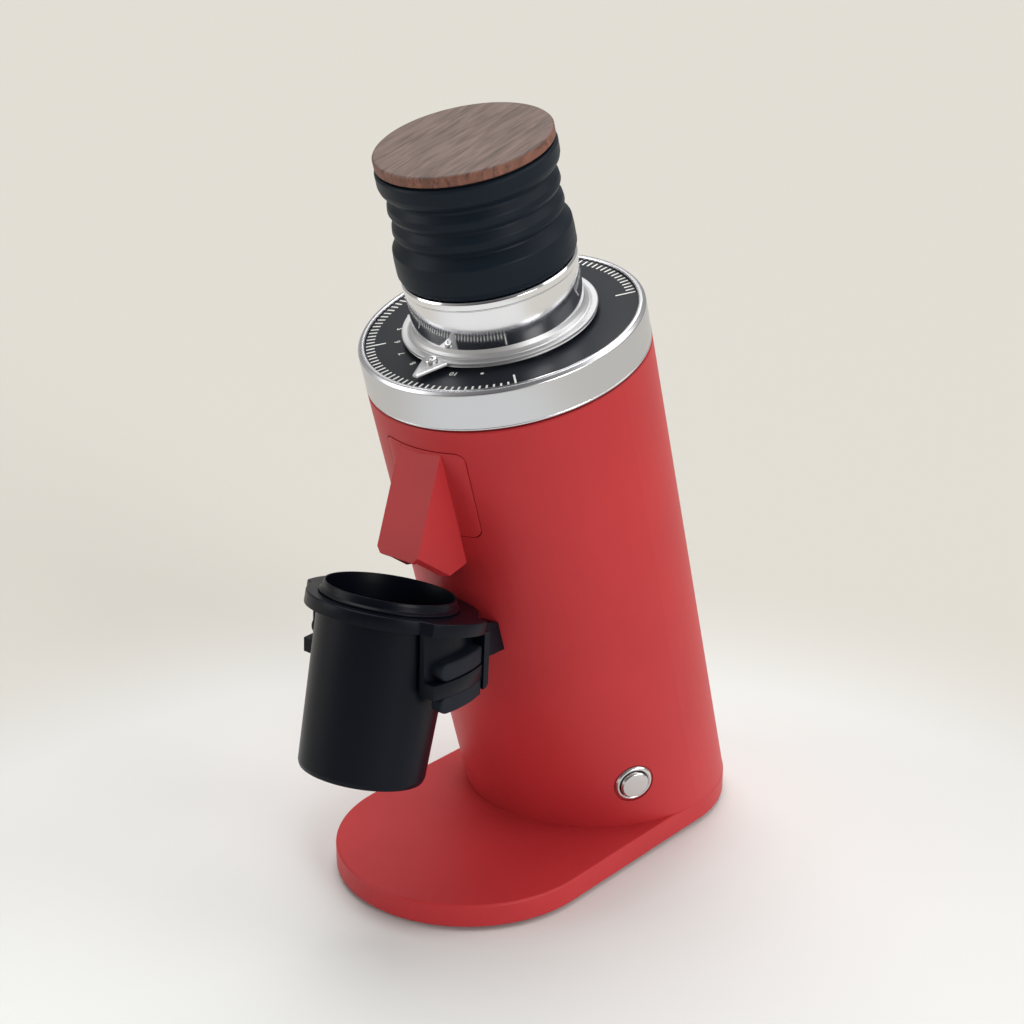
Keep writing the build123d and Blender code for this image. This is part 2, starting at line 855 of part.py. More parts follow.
with BuildPart() as spindle_nut:
    with BuildSketch(level(carrier_hub)):
        Circle(nut_base_radius + 1.0)
        Circle(tip_bore, mode=Mode.SUBTRACT)
    extrude(amount=nut_flange)
    with BuildSketch(level(carrier_hub + nut_flange)):
        Circle(nut_base_radius)
    with BuildSketch(level(nut_top)):
        Circle(nut_tip_radius)
    loft()
    with BuildSketch(level(carrier_hub - 1.0)):
        Circle(tip_bore)
    extrude(amount=nut_depth, mode=Mode.SUBTRACT)
    with BuildSketch(level(carrier_hub + nut_flange)):
        with PolarLocations(8.6, 2):
            Rectangle(6.0, 3.0)
    extrude(amount=sweeper_height)
keep(spindle_nut, "spindle_nut")

# ---------------------------------------------------------------------------
# Upper burr carrier, which the collar moves up and down
# ---------------------------------------------------------------------------
upper_screw_end = upper_burr_back + 5.0
stud_low = carrier_top - throat_stud_depth - 0.5

with BuildPart() as upper_burr_carrier:
    with BuildSketch(COLUMN_SECTION):
        with BuildLine():
            Polyline(
                (burr_bore, upper_burr_back),
                (burr_radius + carrier_margin, upper_burr_back),
                (burr_radius + carrier_margin, carrier_rim_low),
                (carrier_radius, carrier_rim_low),
                (carrier_radius, carrier_top),
                (burr_bore + funnel_lip, carrier_top),
                (burr_bore, carrier_top - funnel_lip),
                close=True,
            )
        make_face()
    revolve(axis=COLUMN_AXIS)
    cut_holes(spring_radius + 3 * fit, spring_circle, 3, carrier_rim_low, spring_seat + spring_length, 30)
    cut_holes(pin_radius + running_gap, spring_circle, 3, carrier_rim_low, carrier_top, 90)
    cut_holes(burr_screw_radius + fit, burr_screw_circle, 3, upper_burr_back, upper_screw_end + 1.0)
    cut_holes(throat_stud_radius + fit, throat_stud_circle, 4, stud_low - 0.5, carrier_top, 45)
keep(upper_burr_carrier, "upper_burr_carrier")

upper_burr = burr(upper_burr_face, upper_burr_back, False)
keep(upper_burr, "upper_burr")
upper_seat = upper_burr_face + burr_screw_sink
upper_burr_screws = burr_screws(
    upper_seat, upper_seat - burr_screw_head_height, upper_seat, upper_screw_end
)
keep(upper_burr_screws, "upper_burr_screws")

stud_hole_high = throat_low + throat_stud_depth

with BuildPart() as hopper_throat:
    with BuildSketch(COLUMN_SECTION):
        with BuildLine():
            Polyline(
                (burr_bore + funnel_lip, throat_low),
                (throat_radius, throat_low),
                (throat_radius, throat_bead_low),
                (throat_bead_radius, throat_bead_low + 0.4),
                (throat_bead_radius, throat_bead_high),
                (throat_neck_radius, throat_bead_high),
                (throat_neck_radius, throat_high),
                (throat_bore, throat_high),
                (throat_bore, throat_low + funnel_height),
                close=True,
            )
        make_face()
    revolve(axis=COLUMN_AXIS)
    cut_holes(throat_stud_radius + fit, throat_stud_circle, 4, throat_low, stud_hole_high, 45)
keep(hopper_throat, "hopper_throat")

throat_studs = pins(throat_stud_radius, throat_stud_circle, 4, stud_low, stud_hole_high - 0.5, 45)
keep(throat_studs, "throat_studs")

pointer_bore = throat_radius + press
pointer_root = (pointer_root_half, -flange_radius + 1.4)
pointer_end = (pointer_end_half, -pointer_tip)

with BuildPart() as pointer_ring:
    with BuildSketch(level(flange_low)):
        Circle(flange_radius)
        with BuildLine():
            Polyline(
                (-pointer_root[0], pointer_root[1]),
                (-pointer_end[0], pointer_end[1]),
                pointer_end,
                pointer_root,
                close=True,
            )
        make_face()
        Circle(pointer_bore, mode=Mode.SUBTRACT)
    extrude(amount=flange_high - flange_low)
    chamfer(pointer_ring.faces().sort_by(COLUMN_AXIS)[-1].edges(), flange_edge)
    with BuildSketch(COLUMN_SECTION):
        with BuildLine():
            Polyline(
                (pointer_bore, flange_high - 0.2),
                (throat_radius + 2.6, flange_high - 0.2),
                (throat_radius + 0.8, flange_high + 1.2),
                (pointer_bore, flange_high + 3.2),
                close=True,
            )
        make_face()
    revolve(axis=COLUMN_AXIS)
    with BuildSketch(level(flange_low)):
        with Locations((0, -pointer_screw_circle)):
            Circle(pointer_screw_radius + fit)
    extrude(amount=flange_high - flange_low, mode=Mode.SUBTRACT)
keep(pointer_ring, "pointer_ring")

with BuildPart() as pointer_screw:
    with BuildSketch(level(flange_low + 0.2)):
        with Locations((0, -pointer_screw_circle)):
            Circle(pointer_screw_radius)
    extrude(amount=flange_high - flange_low)
    with BuildSketch(level(flange_high)):
        with Locations((0, -pointer_screw_circle)):
            Circle(pointer_screw_head)
    extrude(amount=pointer_screw_height)
    chamfer(pointer_screw.faces().sort_by(COLUMN_AXIS)[-1].edges(), flange_edge)
    with BuildSketch(level(flange_high + pointer_screw_height / 2)):
        with Locations((0, -pointer_screw_circle)):
            RegularPolygon(radius=1.4, side_count=6)
    extrude(amount=pointer_screw_height, mode=Mode.SUBTRACT)
keep(pointer_screw, "pointer_screw")

# ---------------------------------------------------------------------------
# Adjusting collar and its dial
# ---------------------------------------------------------------------------
dial_seat = dial_top - dial_thickness
adjusting_collar = turned([
    (skirt_inner, skirt_low),
    (skirt_outer, skirt_low),
    (skirt_outer, collar_base + 0.2),
    (collar_radius - 0.3, collar_base),
    (collar_radius, collar_base + 0.3),
    (collar_radius, collar_top - 0.5),
    (collar_radius - 0.5, collar_top),
    (collar_rim_inner + 0.3, collar_top),
    (collar_rim_inner, collar_top - 0.3),
    (collar_rim_inner, dial_seat),
    (collar_web_bore, dial_seat),
    (collar_web_bore, collar_web_low),
    (skirt_inner, collar_web_low),
    (skirt_inner, lip_high),
    (lip_bore, lip_high),
    (lip_bore, lip_low),
    (skirt_inner, lip_low),
])
keep(adjusting_collar, "adjusting_collar")

dial_plate = ring(dial_inner, dial_outer, dial_seat, dial_top)
keep(dial_plate, "dial_plate")

# ---------------------------------------------------------------------------
# Bellows and lid
# ---------------------------------------------------------------------------
cuff_bore = throat_neck_radius + 0.3
bellows = turned([
    (cuff_bore, cuff_low),
    (cuff_foot_radius, cuff_low),
    (cuff_radius - 0.8, cuff_low + 1.2),
    (cuff_radius, cuff_low + 3.2),
    (cuff_radius, cuff_high),
    (groove_radius, groove_heights[0]),
    (fold_radius, fold_heights[0]),
    (groove_radius, groove_heights[1]),
    (fold_radius, fold_heights[1]),
    (groove_radius, groove_heights[2]),
    (groove_radius, band_low),
    (bellows_bore, band_low),
    (bellows_bore, throat_high + 1.5),
    (cuff_bore, throat_high + 0.3),
])
keep(bellows, "bellows")

bellows_rim = turned([
    (band_bore, band_low + 0.3),
    (band_radius - 1.0, band_low + 0.3),
    (band_radius, band_low + 1.3),
    (band_radius, band_high - 0.6),
    (band_radius - 0.6, band_high),
    (band_bore, band_high),
])
keep(bellows_rim, "bellows_rim")

lid_plug = turned([
    (0, plug_low),
    (plug_radius - 1.0, plug_low),
    (plug_radius, plug_low + 1.0),
    (plug_radius, seal_low),
    (plug_radius - seal_depth, seal_low),
    (plug_radius - seal_depth, seal_high),
    (plug_radius, seal_high),
    (plug_radius, band_high + fit),
    (lid_radius - plug_flange_inset, band_high + fit),
    (lid_radius - plug_flange_inset, lid_low),
    (0, lid_low),
])
keep(lid_plug, "lid_plug")

lid_seal = ring(plug_radius - seal_depth + running_gap, band_bore - 0.35, seal_low + fit, seal_high - fit)
keep(lid_seal, "lid_seal")

with BuildPart() as lid_disc:
    with BuildSketch(level(lid_low)):
        Circle(lid_radius)
    extrude(amount=lid_high - lid_low)
    fillet(lid_disc.edges(), lid_edge_round)
keep(lid_disc, "lid_disc")

# ---------------------------------------------------------------------------
# Dosing cup and the ring that hangs it on the fork
# ---------------------------------------------------------------------------
ring_low = -(cuff_ring_drop + cuff_ring_height)
inner_neck = cup_neck_radius - cup_wall
inner_base = cup_base_radius - cup_wall

with BuildPart() as dosing_cup:
    with BuildSketch(CUP_SECTION):
        with BuildLine():
            Polyline(
                (0, -cup_depth),
                (cup_base_radius - cup_edge_round, -cup_depth),
                (cup_base_radius - 0.7, -cup_depth + 0.7),
                (cup_base_radius, -cup_depth + cup_edge_round),
                (cup_neck_radius, ring_low - 0.5),
                (cup_neck_radius, -cup_shoulder_drop - 0.3),
                (cup_shoulder_radius, -cup_shoulder_drop),
                (cup_lip_radius + 0.3, -1.4),
                (cup_lip_radius, -0.3),
                (cup_lip_radius - 0.3, 0),
                (cup_lip_radius - 0.7, 0),
                (inner_neck - 0.6, -cup_shoulder_drop),
                (inner_base, -cup_depth + cup_edge_round + cup_wall),
                (inner_base - 2.0, -cup_depth + cup_floor),
                (0, -cup_depth + cup_floor),
                close=True,
            )
        make_face()
    revolve(axis=CUP_AXIS)
keep(dosing_cup, "dosing_cup")


def on_circle(radius, back):
    """The +X point of a circle at a given distance behind its centre."""
    return (sqrt(radius**2 - back**2), back)


def mirrored(point):
    """The same point on the other side of X = 0."""
    return (-point[0], point[1])


front_end = on_circle(cuff_ring_front, ear_foot)
back_start = on_circle(cuff_ring_back, ear_end[1] + 0.6)

with BuildPart() as cup_ring:
    with BuildSketch(cup_level(ring_low)):
        with BuildLine():
            ThreePointArc(mirrored(front_end), (0, -cuff_ring_front), front_end)
            Line(front_end, ear_start)
            ThreePointArc(ear_start, ear_middle, ear_end)
            Line(ear_end, back_start)
            ThreePointArc(back_start, (0, cuff_ring_back), mirrored(back_start))
            Line(mirrored(back_start), mirrored(ear_end))
            ThreePointArc(mirrored(ear_end), mirrored(ear_middle), mirrored(ear_start))
            Line(mirrored(ear_start), mirrored(front_end))
        make_face()
        Circle(cup_neck_radius + fit, mode=Mode.SUBTRACT)
    extrude(amount=cuff_ring_height)
    chamfer(cup_ring.faces().sort_by(CUP_AXIS)[-1].edges(), ring_edge)
keep(cup_ring, "cup_ring")

# ---------------------------------------------------------------------------
# Fork: two arms with ledges and rubber pads, and a boss against the column.
# The arms, ledges and pads stand a little tipped back about the fork's front edge.
# ---------------------------------------------------------------------------
FORK_EDGE = Axis((0, fork_front, fork_bottom), (1, 0, 0))
boss_reach = axis_foot_y - 80.0
heel_back = fork_rear + heel_thickness
blank_top = fork_bottom + fork_blank_height


def flank_point(radius, y):
    """The +X point of a curved flank at a given place along the fork."""
    return (sqrt(radius**2 - (y - flank_middle_y) ** 2) - flank_inset, y)


def between_flanks(radius, height, base):
    """The block between the two curved flanks, from the fork's front to its rear."""
    start = flank_point(radius, fork_front)
    middle = flank_point(radius, flank_middle_y)
    finish = flank_point(radius, fork_rear)
    with BuildPart() as block:
        with BuildSketch(Plane.XY.offset(base)):
            with BuildLine():
                Line(mirrored(start), start)
                ThreePointArc(start, middle, finish)
                Line(finish, mirrored(finish))
                ThreePointArc(mirrored(finish), mirrored(middle), mirrored(start))
            make_face()
        extrude(amount=height)
    return block


def heel():
    """The flat heel across the back of the arms, rounded at its lower rear edge."""
    with BuildPart() as block:
        with BuildSketch(Plane.YZ):
            with BuildLine():
                Polyline(
                    (fork_rear, blank_top),
                    (fork_rear, heel_bottom),
                    (heel_back, heel_bottom),
                    (heel_back, blank_top),
                    close=True,
                )
            make_face()
        extrude(amount=heel_half, both=True)
        low_edges = block.edges().filter_by(Axis.X).group_by(Axis.Z)[0]
        fillet(low_edges.sort_by(Axis.Y)[-1], heel_round)
    return block


def boss():
    """The block behind the heel that is screwed to the column."""
    with BuildPart() as block:
        with BuildSketch(Plane.XY.offset(fork_bottom)):
            with BuildLine():
                Polyline(
                    (-heel_half + heel_thickness, fork_rear + boss_inset),
                    (heel_half - heel_thickness, fork_rear + boss_inset),
                    (boss_half, fork_rear + boss_taper),
                    (boss_half, boss_reach),
                    (-boss_half, boss_reach),
                    (-boss_half, fork_rear + boss_taper),
                    close=True,
                )
            make_face()
        extrude(amount=fork_blank_height)
        with BuildSketch(Plane.XY.offset(boss_bottom)):
            with Locations((0, (fork_rear + boss_overlap + boss_reach) / 2)):
                Rectangle(2 * boss_half, boss_reach - fork_rear - boss_overlap)
        extrude(amount=fork_bottom - boss_bottom)
        split(bisect_by=cup_level(ring_low - boss_step), keep=Keep.BOTTOM)
    return block


arms = between_flanks(flank_radius, fork_blank_height, fork_bottom)
ledges = between_flanks(fork_ledge_radius, fork_ledge_height, fork_bottom)
fork_heel = heel()
fork_boss = boss()

with BuildPart() as fork_bracket:
    for block in (arms, ledges, fork_heel):
        add(block.part.rotate(FORK_EDGE, -fork_tilt))
    split(bisect_by=cup_level(ring_low), keep=Keep.BOTTOM)
    add(fork_boss.part)
    with BuildSketch(cup_level(0)):
        Circle(fork_slot_half)
        with Locations((0, -cup_depth / 2)):
            Rectangle(2 * fork_slot_half, cup_depth)
    extrude(amount=-cup_depth, mode=Mode.SUBTRACT)
    with BuildSketch(level(0)):
        Circle(column_radius + running_gap)
    extrude(amount=column_top, mode=Mode.SUBTRACT)
    with BuildSketch(flank(0, fork_screw_height, column_radius - 1.0)):
        with Locations((-fork_screw_half, 0), (fork_screw_half, 0)):
            Circle(fork_screw_radius + running_gap)
    extrude(amount=fork_screw_bite, mode=Mode.SUBTRACT)
keep(fork_bracket, "fork_bracket")

with BuildPart() as fork_screws:
    with BuildSketch(flank(0, fork_screw_height, fork_screw_seat - fork_screw_head_height)):
        with Locations((-fork_screw_half, 0), (fork_screw_half, 0)):
            Circle(fork_screw_head)
    extrude(amount=fork_screw_head_height)
    with BuildSketch(flank(0, fork_screw_height, fork_screw_seat)):
        with Locations((-fork_screw_half, 0), (fork_screw_half, 0)):
            Circle(fork_screw_radius)
    extrude(amount=fork_screw_length)
keep(fork_screws, "fork_screws")


def pads(low):
    """A pair of rubber pads along the flanks, rounded at the front and flat at the heel."""
    middle = low + pad_height / 2
    round_y = pad_front + pad_height / 2
    outer = between_flanks(pad_radius, pad_height, low)
    inner = between_flanks(flank_radius + press, pad_height, low)
    with BuildPart() as pair:
        with BuildSketch(Plane.YZ):
            with Locations((round_y, middle)):
                Circle(pad_height / 2)
            with Locations(((round_y + pad_rear) / 2, middle)):
                Rectangle(pad_rear - round_y, pad_height)
        extrude(amount=pad_radius, both=True)
        add(outer.part, mode=Mode.INTERSECT)
        add(inner.part, mode=Mode.SUBTRACT)
        sides = [pair.faces().sort_by(Axis.X)[0], pair.faces().sort_by(Axis.X)[-1]]
        fillet([edge for side in sides for edge in side.edges()], pad_edge_round)
    with BuildPart() as tipped:
        add(pair.part.rotate(FORK_EDGE, -fork_tilt))
    return tipped


fork_upper_pads = pads(fork_bottom + fork_ledge_height + running_gap)
keep(fork_upper_pads, "fork_upper_pads")
fork_lower_pads = pads(fork_bottom - pad_height - running_gap)
keep(fork_lower_pads, "fork_lower_pads")

# ---------------------------------------------------------------------------
# Power button
# ---------------------------------------------------------------------------
cap_face = bezel_seat + bezel_height + button_rise
cap_root = bezel_seat - button_cap_depth
BUTTON_AXIS = Axis(FOOT, flank(button_turn, 0, 0).z_dir)

with BuildPart() as button_bezel:
    with BuildSketch(flank(button_turn, button_height, bezel_seat)):
        Circle(bezel_radius)
    extrude(amount=bezel_height)
    chamfer(button_bezel.faces().sort_by(BUTTON_AXIS)[-1].edges(), bezel_edge)
    with BuildSketch(flank(button_turn, button_height, bezel_seat - button_barrel_depth)):
        Circle(button_barrel)
    extrude(amount=button_barrel_depth)
    with BuildSketch(flank(button_turn, button_height, cap_root - button_spring_length)):
        Circle(button_radius + button_gap)
    extrude(amount=button_barrel_depth, mode=Mode.SUBTRACT)
keep(button_bezel, "button_bezel")

with BuildPart() as button_nut:
    with BuildSketch(flank(button_turn, button_height, bezel_seat - button_nut_depth)):
        RegularPolygon(radius=button_nut_radius, side_count=6)
        Circle(button_barrel + running_gap, mode=Mode.SUBTRACT)
    extrude(amount=button_nut_thickness)
keep(button_nut, "button_nut")

with BuildPart() as button_cap:
    with BuildSketch(flank(button_turn, button_height, cap_root)):
        Circle(button_radius)
    extrude(amount=cap_face - cap_root)
    fillet(button_cap.faces().sort_by(BUTTON_AXIS)[-1].edges(), bezel_edge)
keep(button_cap, "button_cap")

with BuildPart() as button_spring:
    with BuildSketch(flank(button_turn, button_height, cap_root - button_spring_length)):
        Circle(button_spring_radius)
        Circle(button_spring_radius - spring_wall, mode=Mode.SUBTRACT)
    extrude(amount=button_spring_length)
keep(button_spring, "button_spring")

# ---------------------------------------------------------------------------
# Power inlet, board and capacitor
# ---------------------------------------------------------------------------
with BuildPart() as power_inlet:
    with BuildSketch(flank(180, inlet_height, inlet_seat)):
        RectangleRounded(inlet_wide, inlet_tall, inlet_corner)
    extrude(amount=inlet_rim)
    with BuildSketch(flank(180, inlet_height, inlet_seat - inlet_body_depth)):
        RectangleRounded(inlet_body_wide, inlet_body_tall, inlet_body_corner)
    extrude(amount=inlet_body_depth)
    with BuildSketch(flank(180, inlet_height, inlet_seat - inlet_body_depth + inlet_floor)):
        with BuildLine():
            Polyline(
                (-socket_half, -socket_rise),
                (socket_half, -socket_rise),
                (socket_half, socket_rise - socket_cut),
                (socket_half - socket_cut, socket_rise),
                (socket_cut - socket_half, socket_rise),
                (-socket_half, socket_rise - socket_cut),
                close=True,
            )
        make_face()
    extrude(amount=inlet_body_depth, mode=Mode.SUBTRACT)
keep(power_inlet, "power_inlet")

with BuildPart() as inlet_pins:
    with BuildSketch(flank(180, inlet_height, inlet_seat - inlet_body_depth + inlet_floor)):
        with Locations((-7.0, -1.5), (7.0, -1.5), (0, 2.5)):
            Rectangle(2.0, 4.0)
    extrude(amount=inlet_pin_length)
keep(inlet_pins, "inlet_pins")

with BuildPart() as control_board:
    with BuildSketch(Plane.XY.offset(PLATE_TOP + board_lift)):
        with Locations((board_x, board_y)):
            Rectangle(board_wide, board_deep)
    extrude(amount=board_thickness)
    with BuildSketch(Plane.XY.offset(PLATE_TOP + board_lift + board_thickness)):
        with Locations(*relay_spots):
            Rectangle(relay_size[0], relay_size[1])
    extrude(amount=relay_size[2])
keep(control_board, "control_board")

with BuildPart() as board_posts:
    with BuildSketch(Plane.XY.offset(PLATE_TOP)):
        with Locations((board_x, board_y)):
            with GridLocations(board_wide - 2 * board_inset, board_deep - 2 * board_inset, 2, 2):
                Circle(board_post_radius)
    extrude(amount=board_lift)
keep(board_posts, "board_posts")

with BuildPart() as run_capacitor:
    with BuildSketch(Plane.XY.offset(PLATE_TOP + capacitor_lift)):
        with Locations((capacitor_x, capacitor_y)):
            Circle(capacitor_radius)
    extrude(amount=capacitor_height)
    fillet(run_capacitor.faces().sort_by(Axis.Z)[-1].edges(), capacitor_round)
keep(run_capacitor, "run_capacitor")
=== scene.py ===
import json
import math

import bmesh
import bpy
from mathutils import Matrix, Vector


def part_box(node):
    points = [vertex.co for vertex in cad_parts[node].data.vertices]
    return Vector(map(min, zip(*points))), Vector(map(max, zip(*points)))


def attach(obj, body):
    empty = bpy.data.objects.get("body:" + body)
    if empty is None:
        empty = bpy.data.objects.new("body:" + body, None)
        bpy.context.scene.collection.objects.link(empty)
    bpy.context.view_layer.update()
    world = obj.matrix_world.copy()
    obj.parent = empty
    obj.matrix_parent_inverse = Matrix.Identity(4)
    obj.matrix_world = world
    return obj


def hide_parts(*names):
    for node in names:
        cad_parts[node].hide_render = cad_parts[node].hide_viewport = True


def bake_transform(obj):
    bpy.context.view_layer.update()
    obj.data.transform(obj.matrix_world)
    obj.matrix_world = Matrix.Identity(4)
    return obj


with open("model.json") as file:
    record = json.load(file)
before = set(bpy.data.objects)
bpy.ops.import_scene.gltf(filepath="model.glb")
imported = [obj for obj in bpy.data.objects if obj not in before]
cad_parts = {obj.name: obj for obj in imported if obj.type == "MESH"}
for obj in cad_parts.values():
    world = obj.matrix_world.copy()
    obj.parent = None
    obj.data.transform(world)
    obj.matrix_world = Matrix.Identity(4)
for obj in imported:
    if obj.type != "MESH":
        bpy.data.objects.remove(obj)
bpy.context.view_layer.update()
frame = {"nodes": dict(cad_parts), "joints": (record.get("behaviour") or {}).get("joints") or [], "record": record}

MM = 0.001

# ---------------------------------------------------------------------------
# Camera and light
# ---------------------------------------------------------------------------
VIEW_TURN = math.radians(40.72)
VIEW_RISE = math.radians(20.26)
VIEW_DISTANCE = 0.8355
VIEW_AIM = Vector((0.0, -0.00186, 0.1626))
LENS = 66.0
SENSOR_WIDTH = 36.0
# Each light's turn round the object, rise above the floor and spread in degrees, its strength and colour.
LIGHTS = {
    "back_left_light": (-140, 70, 50, 1.85, (1.0, 0.99, 0.98)),
    "right_light": (80, 16, 26, 1.32, (1.0, 0.98, 0.97)),
    "back_right_light": (128, 38, 40, 0.75, (1.0, 0.99, 0.98)),
    "front_left_light": (-46, 16, 34, 0.74, (1.0, 0.99, 0.98)),
}
# The room is darker on the camera's side, so polished metal shows light and dark.
WORLD_DARK_TURN = math.radians(-6.0)
WORLD_STOPS = [(0.45, (0.93, 0.91, 0.88)), (0.96, (0.16, 0.14, 0.16))]
WORLD_STRENGTH = 0.42


def direction(turn, rise):
    """Unit vector from the object towards a place round it; turn 0 is the front."""
    return Vector((
        math.sin(turn) * math.cos(rise),
        -math.cos(turn) * math.cos(rise),
        math.sin(rise),
    ))


def make_camera():
    """The camera, aimed at the middle of the object."""
    data = bpy.data.cameras.new("camera")
    data.lens = LENS
    data.sensor_width = SENSOR_WIDTH
    data.clip_start = 0.02
    data.clip_end = 50.0
    camera = bpy.data.objects.new("camera", data)
    bpy.context.scene.collection.objects.link(camera)
    back = direction(VIEW_TURN, VIEW_RISE)
    camera.location = VIEW_AIM + back * VIEW_DISTANCE
    camera.rotation_mode = "QUATERNION"
    camera.rotation_quaternion = (-back).to_track_quat("-Z", "Y")
    bpy.context.scene.camera = camera


def wide_light(name, turn, rise, spread, strength, colour):
    """A large soft light, far off, that shines on the object from the given turn and rise."""
    data = bpy.data.lights.new(name, "SUN")
    data.angle = math.radians(spread)
    data.energy = strength
    data.color = colour
    light = bpy.data.objects.new(name, data)
    bpy.context.scene.collection.objects.link(light)
    back = direction(math.radians(turn), math.radians(rise))
    light.location = VIEW_AIM + back
    light.rotation_mode = "QUATERNION"
    light.rotation_quaternion = (-back).to_track_quat("-Z", "Y")


def make_lights():
    for name, setting in LIGHTS.items():
        wide_light(name, *setting)
    make_world()


def make_world():
    """A plain room, pale behind the object and darker towards the camera."""
    world = bpy.data.worlds.new("studio")
    world.use_nodes = True
    tree = world.node_tree
    place = tree.nodes.new("ShaderNodeTexCoord")
    aim = tree.nodes.new("ShaderNodeVectorMath")
    aim.operation = "DOT_PRODUCT"
    aim.inputs[1].default_value = direction(VIEW_TURN + WORLD_DARK_TURN, 0.0)
    tree.links.new(place.outputs["Generated"], aim.inputs[0])
    ramp = tree.nodes.new("ShaderNodeValToRGB")
    for element, (position, colour) in zip(ramp.color_ramp.elements, WORLD_STOPS):
        element.position = position
        element.color = (*colour, 1.0)
    tree.links.new(aim.outputs["Value"], ramp.inputs["Fac"])
    background = tree.nodes["Background"]
    tree.links.new(ramp.outputs["Color"], background.inputs["Color"])
    background.inputs["Strength"].default_value = WORLD_STRENGTH
    bpy.context.scene.world = world


# ---------------------------------------------------------------------------
# Places: the column's and the cup's own axes
# ---------------------------------------------------------------------------
def joint(name):
    """A joint of the frame."""
    return next(j for j in frame["joints"] if j["name"] == name)


def mount(name):
    """A mount of the record."""
    return next(m for m in frame["record"]["mounts"] if m["name"] == name)


def place_on(origin, up):
    """Matrix whose local +Z is the given axis and whose local +X is as near the row's +X as it can be."""
    up = up.normalized()
    back = up.cross(Vector((1.0, 0.0, 0.0))).normalized()
    side = back.cross(up)
    turn = Matrix((side, back, up)).transposed().to_4x4()
    return Matrix.Translation(origin) @ turn


COLUMN = place_on(Vector(joint("motor_spin")["pos_m"]), Vector(joint("motor_spin")["axis"]))
CUP = place_on(Vector(mount("cup_lip")["pos_m"]), Vector(mount("cup_lip")["axis"]))


class Extent:
    """A CAD node's lowest and highest point along an axis, and its radii about it."""

    def __init__(self, node, place=COLUMN):
        back = place.inverted()
        points = [back @ v.co for v in frame["nodes"][node].data.vertices]
        radii = [math.hypot(p.x, p.y) for p in points]
        self.low = min(p.z for p in points)
        self.high = max(p.z for p in points)
        self.inner = min(radii)
        self.outer = max(radii)


# ---------------------------------------------------------------------------
# Mesh building
# ---------------------------------------------------------------------------
ROUND_STEPS = 5
WIDE_STEPS = 256
TURN_STEPS = 220
SMALL_STEPS = 128
SHARP_ANGLE = 35.0
LID_SHARP_ANGLE = 50.0
POLE_RADIUS = 1e-7


def rounded(corners, loop=True):
    """Outline points, with each corner (x, y, round) replaced by a small arc."""
    points = []
    count = len(corners)
    for i, corner in enumerate(corners):
        here = Vector(corner[:2])
        size = corner[2] if len(corner) > 2 else 0.0
        at_end = not loop and i in (0, count - 1)
        if size <= 0 or at_end:
            points.append(here)
            continue
        to_last = Vector(corners[i - 1][:2]) - here
        to_next = Vector(corners[(i + 1) % count][:2]) - here
        half = to_last.angle(to_next) / 2
        reach = min(size / math.tan(half), 0.49 * to_last.length, 0.49 * to_next.length)
        start = here + to_last.normalized() * reach
        end = here + to_next.normalized() * reach
        for k in range(ROUND_STEPS + 1):
            t = k / ROUND_STEPS
            points.append(start * (1 - t) ** 2 + here * (2 * t * (1 - t)) + end * t**2)
    return points


def new_object(name, mesh, place, material, sharp=SHARP_ANGLE):
    """An object at a place, smooth except at edges sharper than an angle."""
    mesh.validate()
    mesh.polygons.foreach_set("use_smooth", [True] * len(mesh.polygons))
    mesh.set_sharp_from_angle(angle=math.radians(sharp))
    mesh.materials.append(material)
    piece = bpy.data.objects.new(name, mesh)
    bpy.context.scene.collection.objects.link(piece)
    piece.matrix_world = place
    return piece


def lathe(name, outline, place, material, loop=True, steps=TURN_STEPS, sharp=SHARP_ANGLE):
    """A turned mesh from (radius, height) points; radius 0 closes to a pole."""
    verts = []
    rows = []
    for point in outline:
        if point.x < POLE_RADIUS:
            rows.append([len(verts)])
            verts.append((0.0, 0.0, point.y))
            continue
        rows.append(list(range(len(verts), len(verts) + steps)))
        for k in range(steps):
            angle = 2 * math.pi * k / steps
            verts.append((point.x * math.cos(angle), point.x * math.sin(angle), point.y))
    faces = []
    pairs = len(rows) if loop else len(rows) - 1
    for i in range(pairs):
        low, high = rows[i], rows[(i + 1) % len(rows)]
        for k in range(steps):
            n = (k + 1) % steps
            if len(low) == 1 and len(high) == 1:
                continue
            if len(low) == 1:
                faces.append((low[0], high[n], high[k]))
            elif len(high) == 1:
                faces.append((low[k], low[n], high[0]))
            else:
                faces.append((low[k], low[n], high[n], high[k]))
    mesh = bpy.data.meshes.new(name)
    mesh.from_pydata(verts, [], faces)
    fix_normals(mesh)
    return new_object(name, mesh, place, material, sharp)


def fix_normals(mesh):
    """Turn every face outwards."""
    work = bmesh.new()
    work.from_mesh(mesh)
    bmesh.ops.recalc_face_normals(work, faces=work.faces)
    work.to_mesh(mesh)
    work.free()


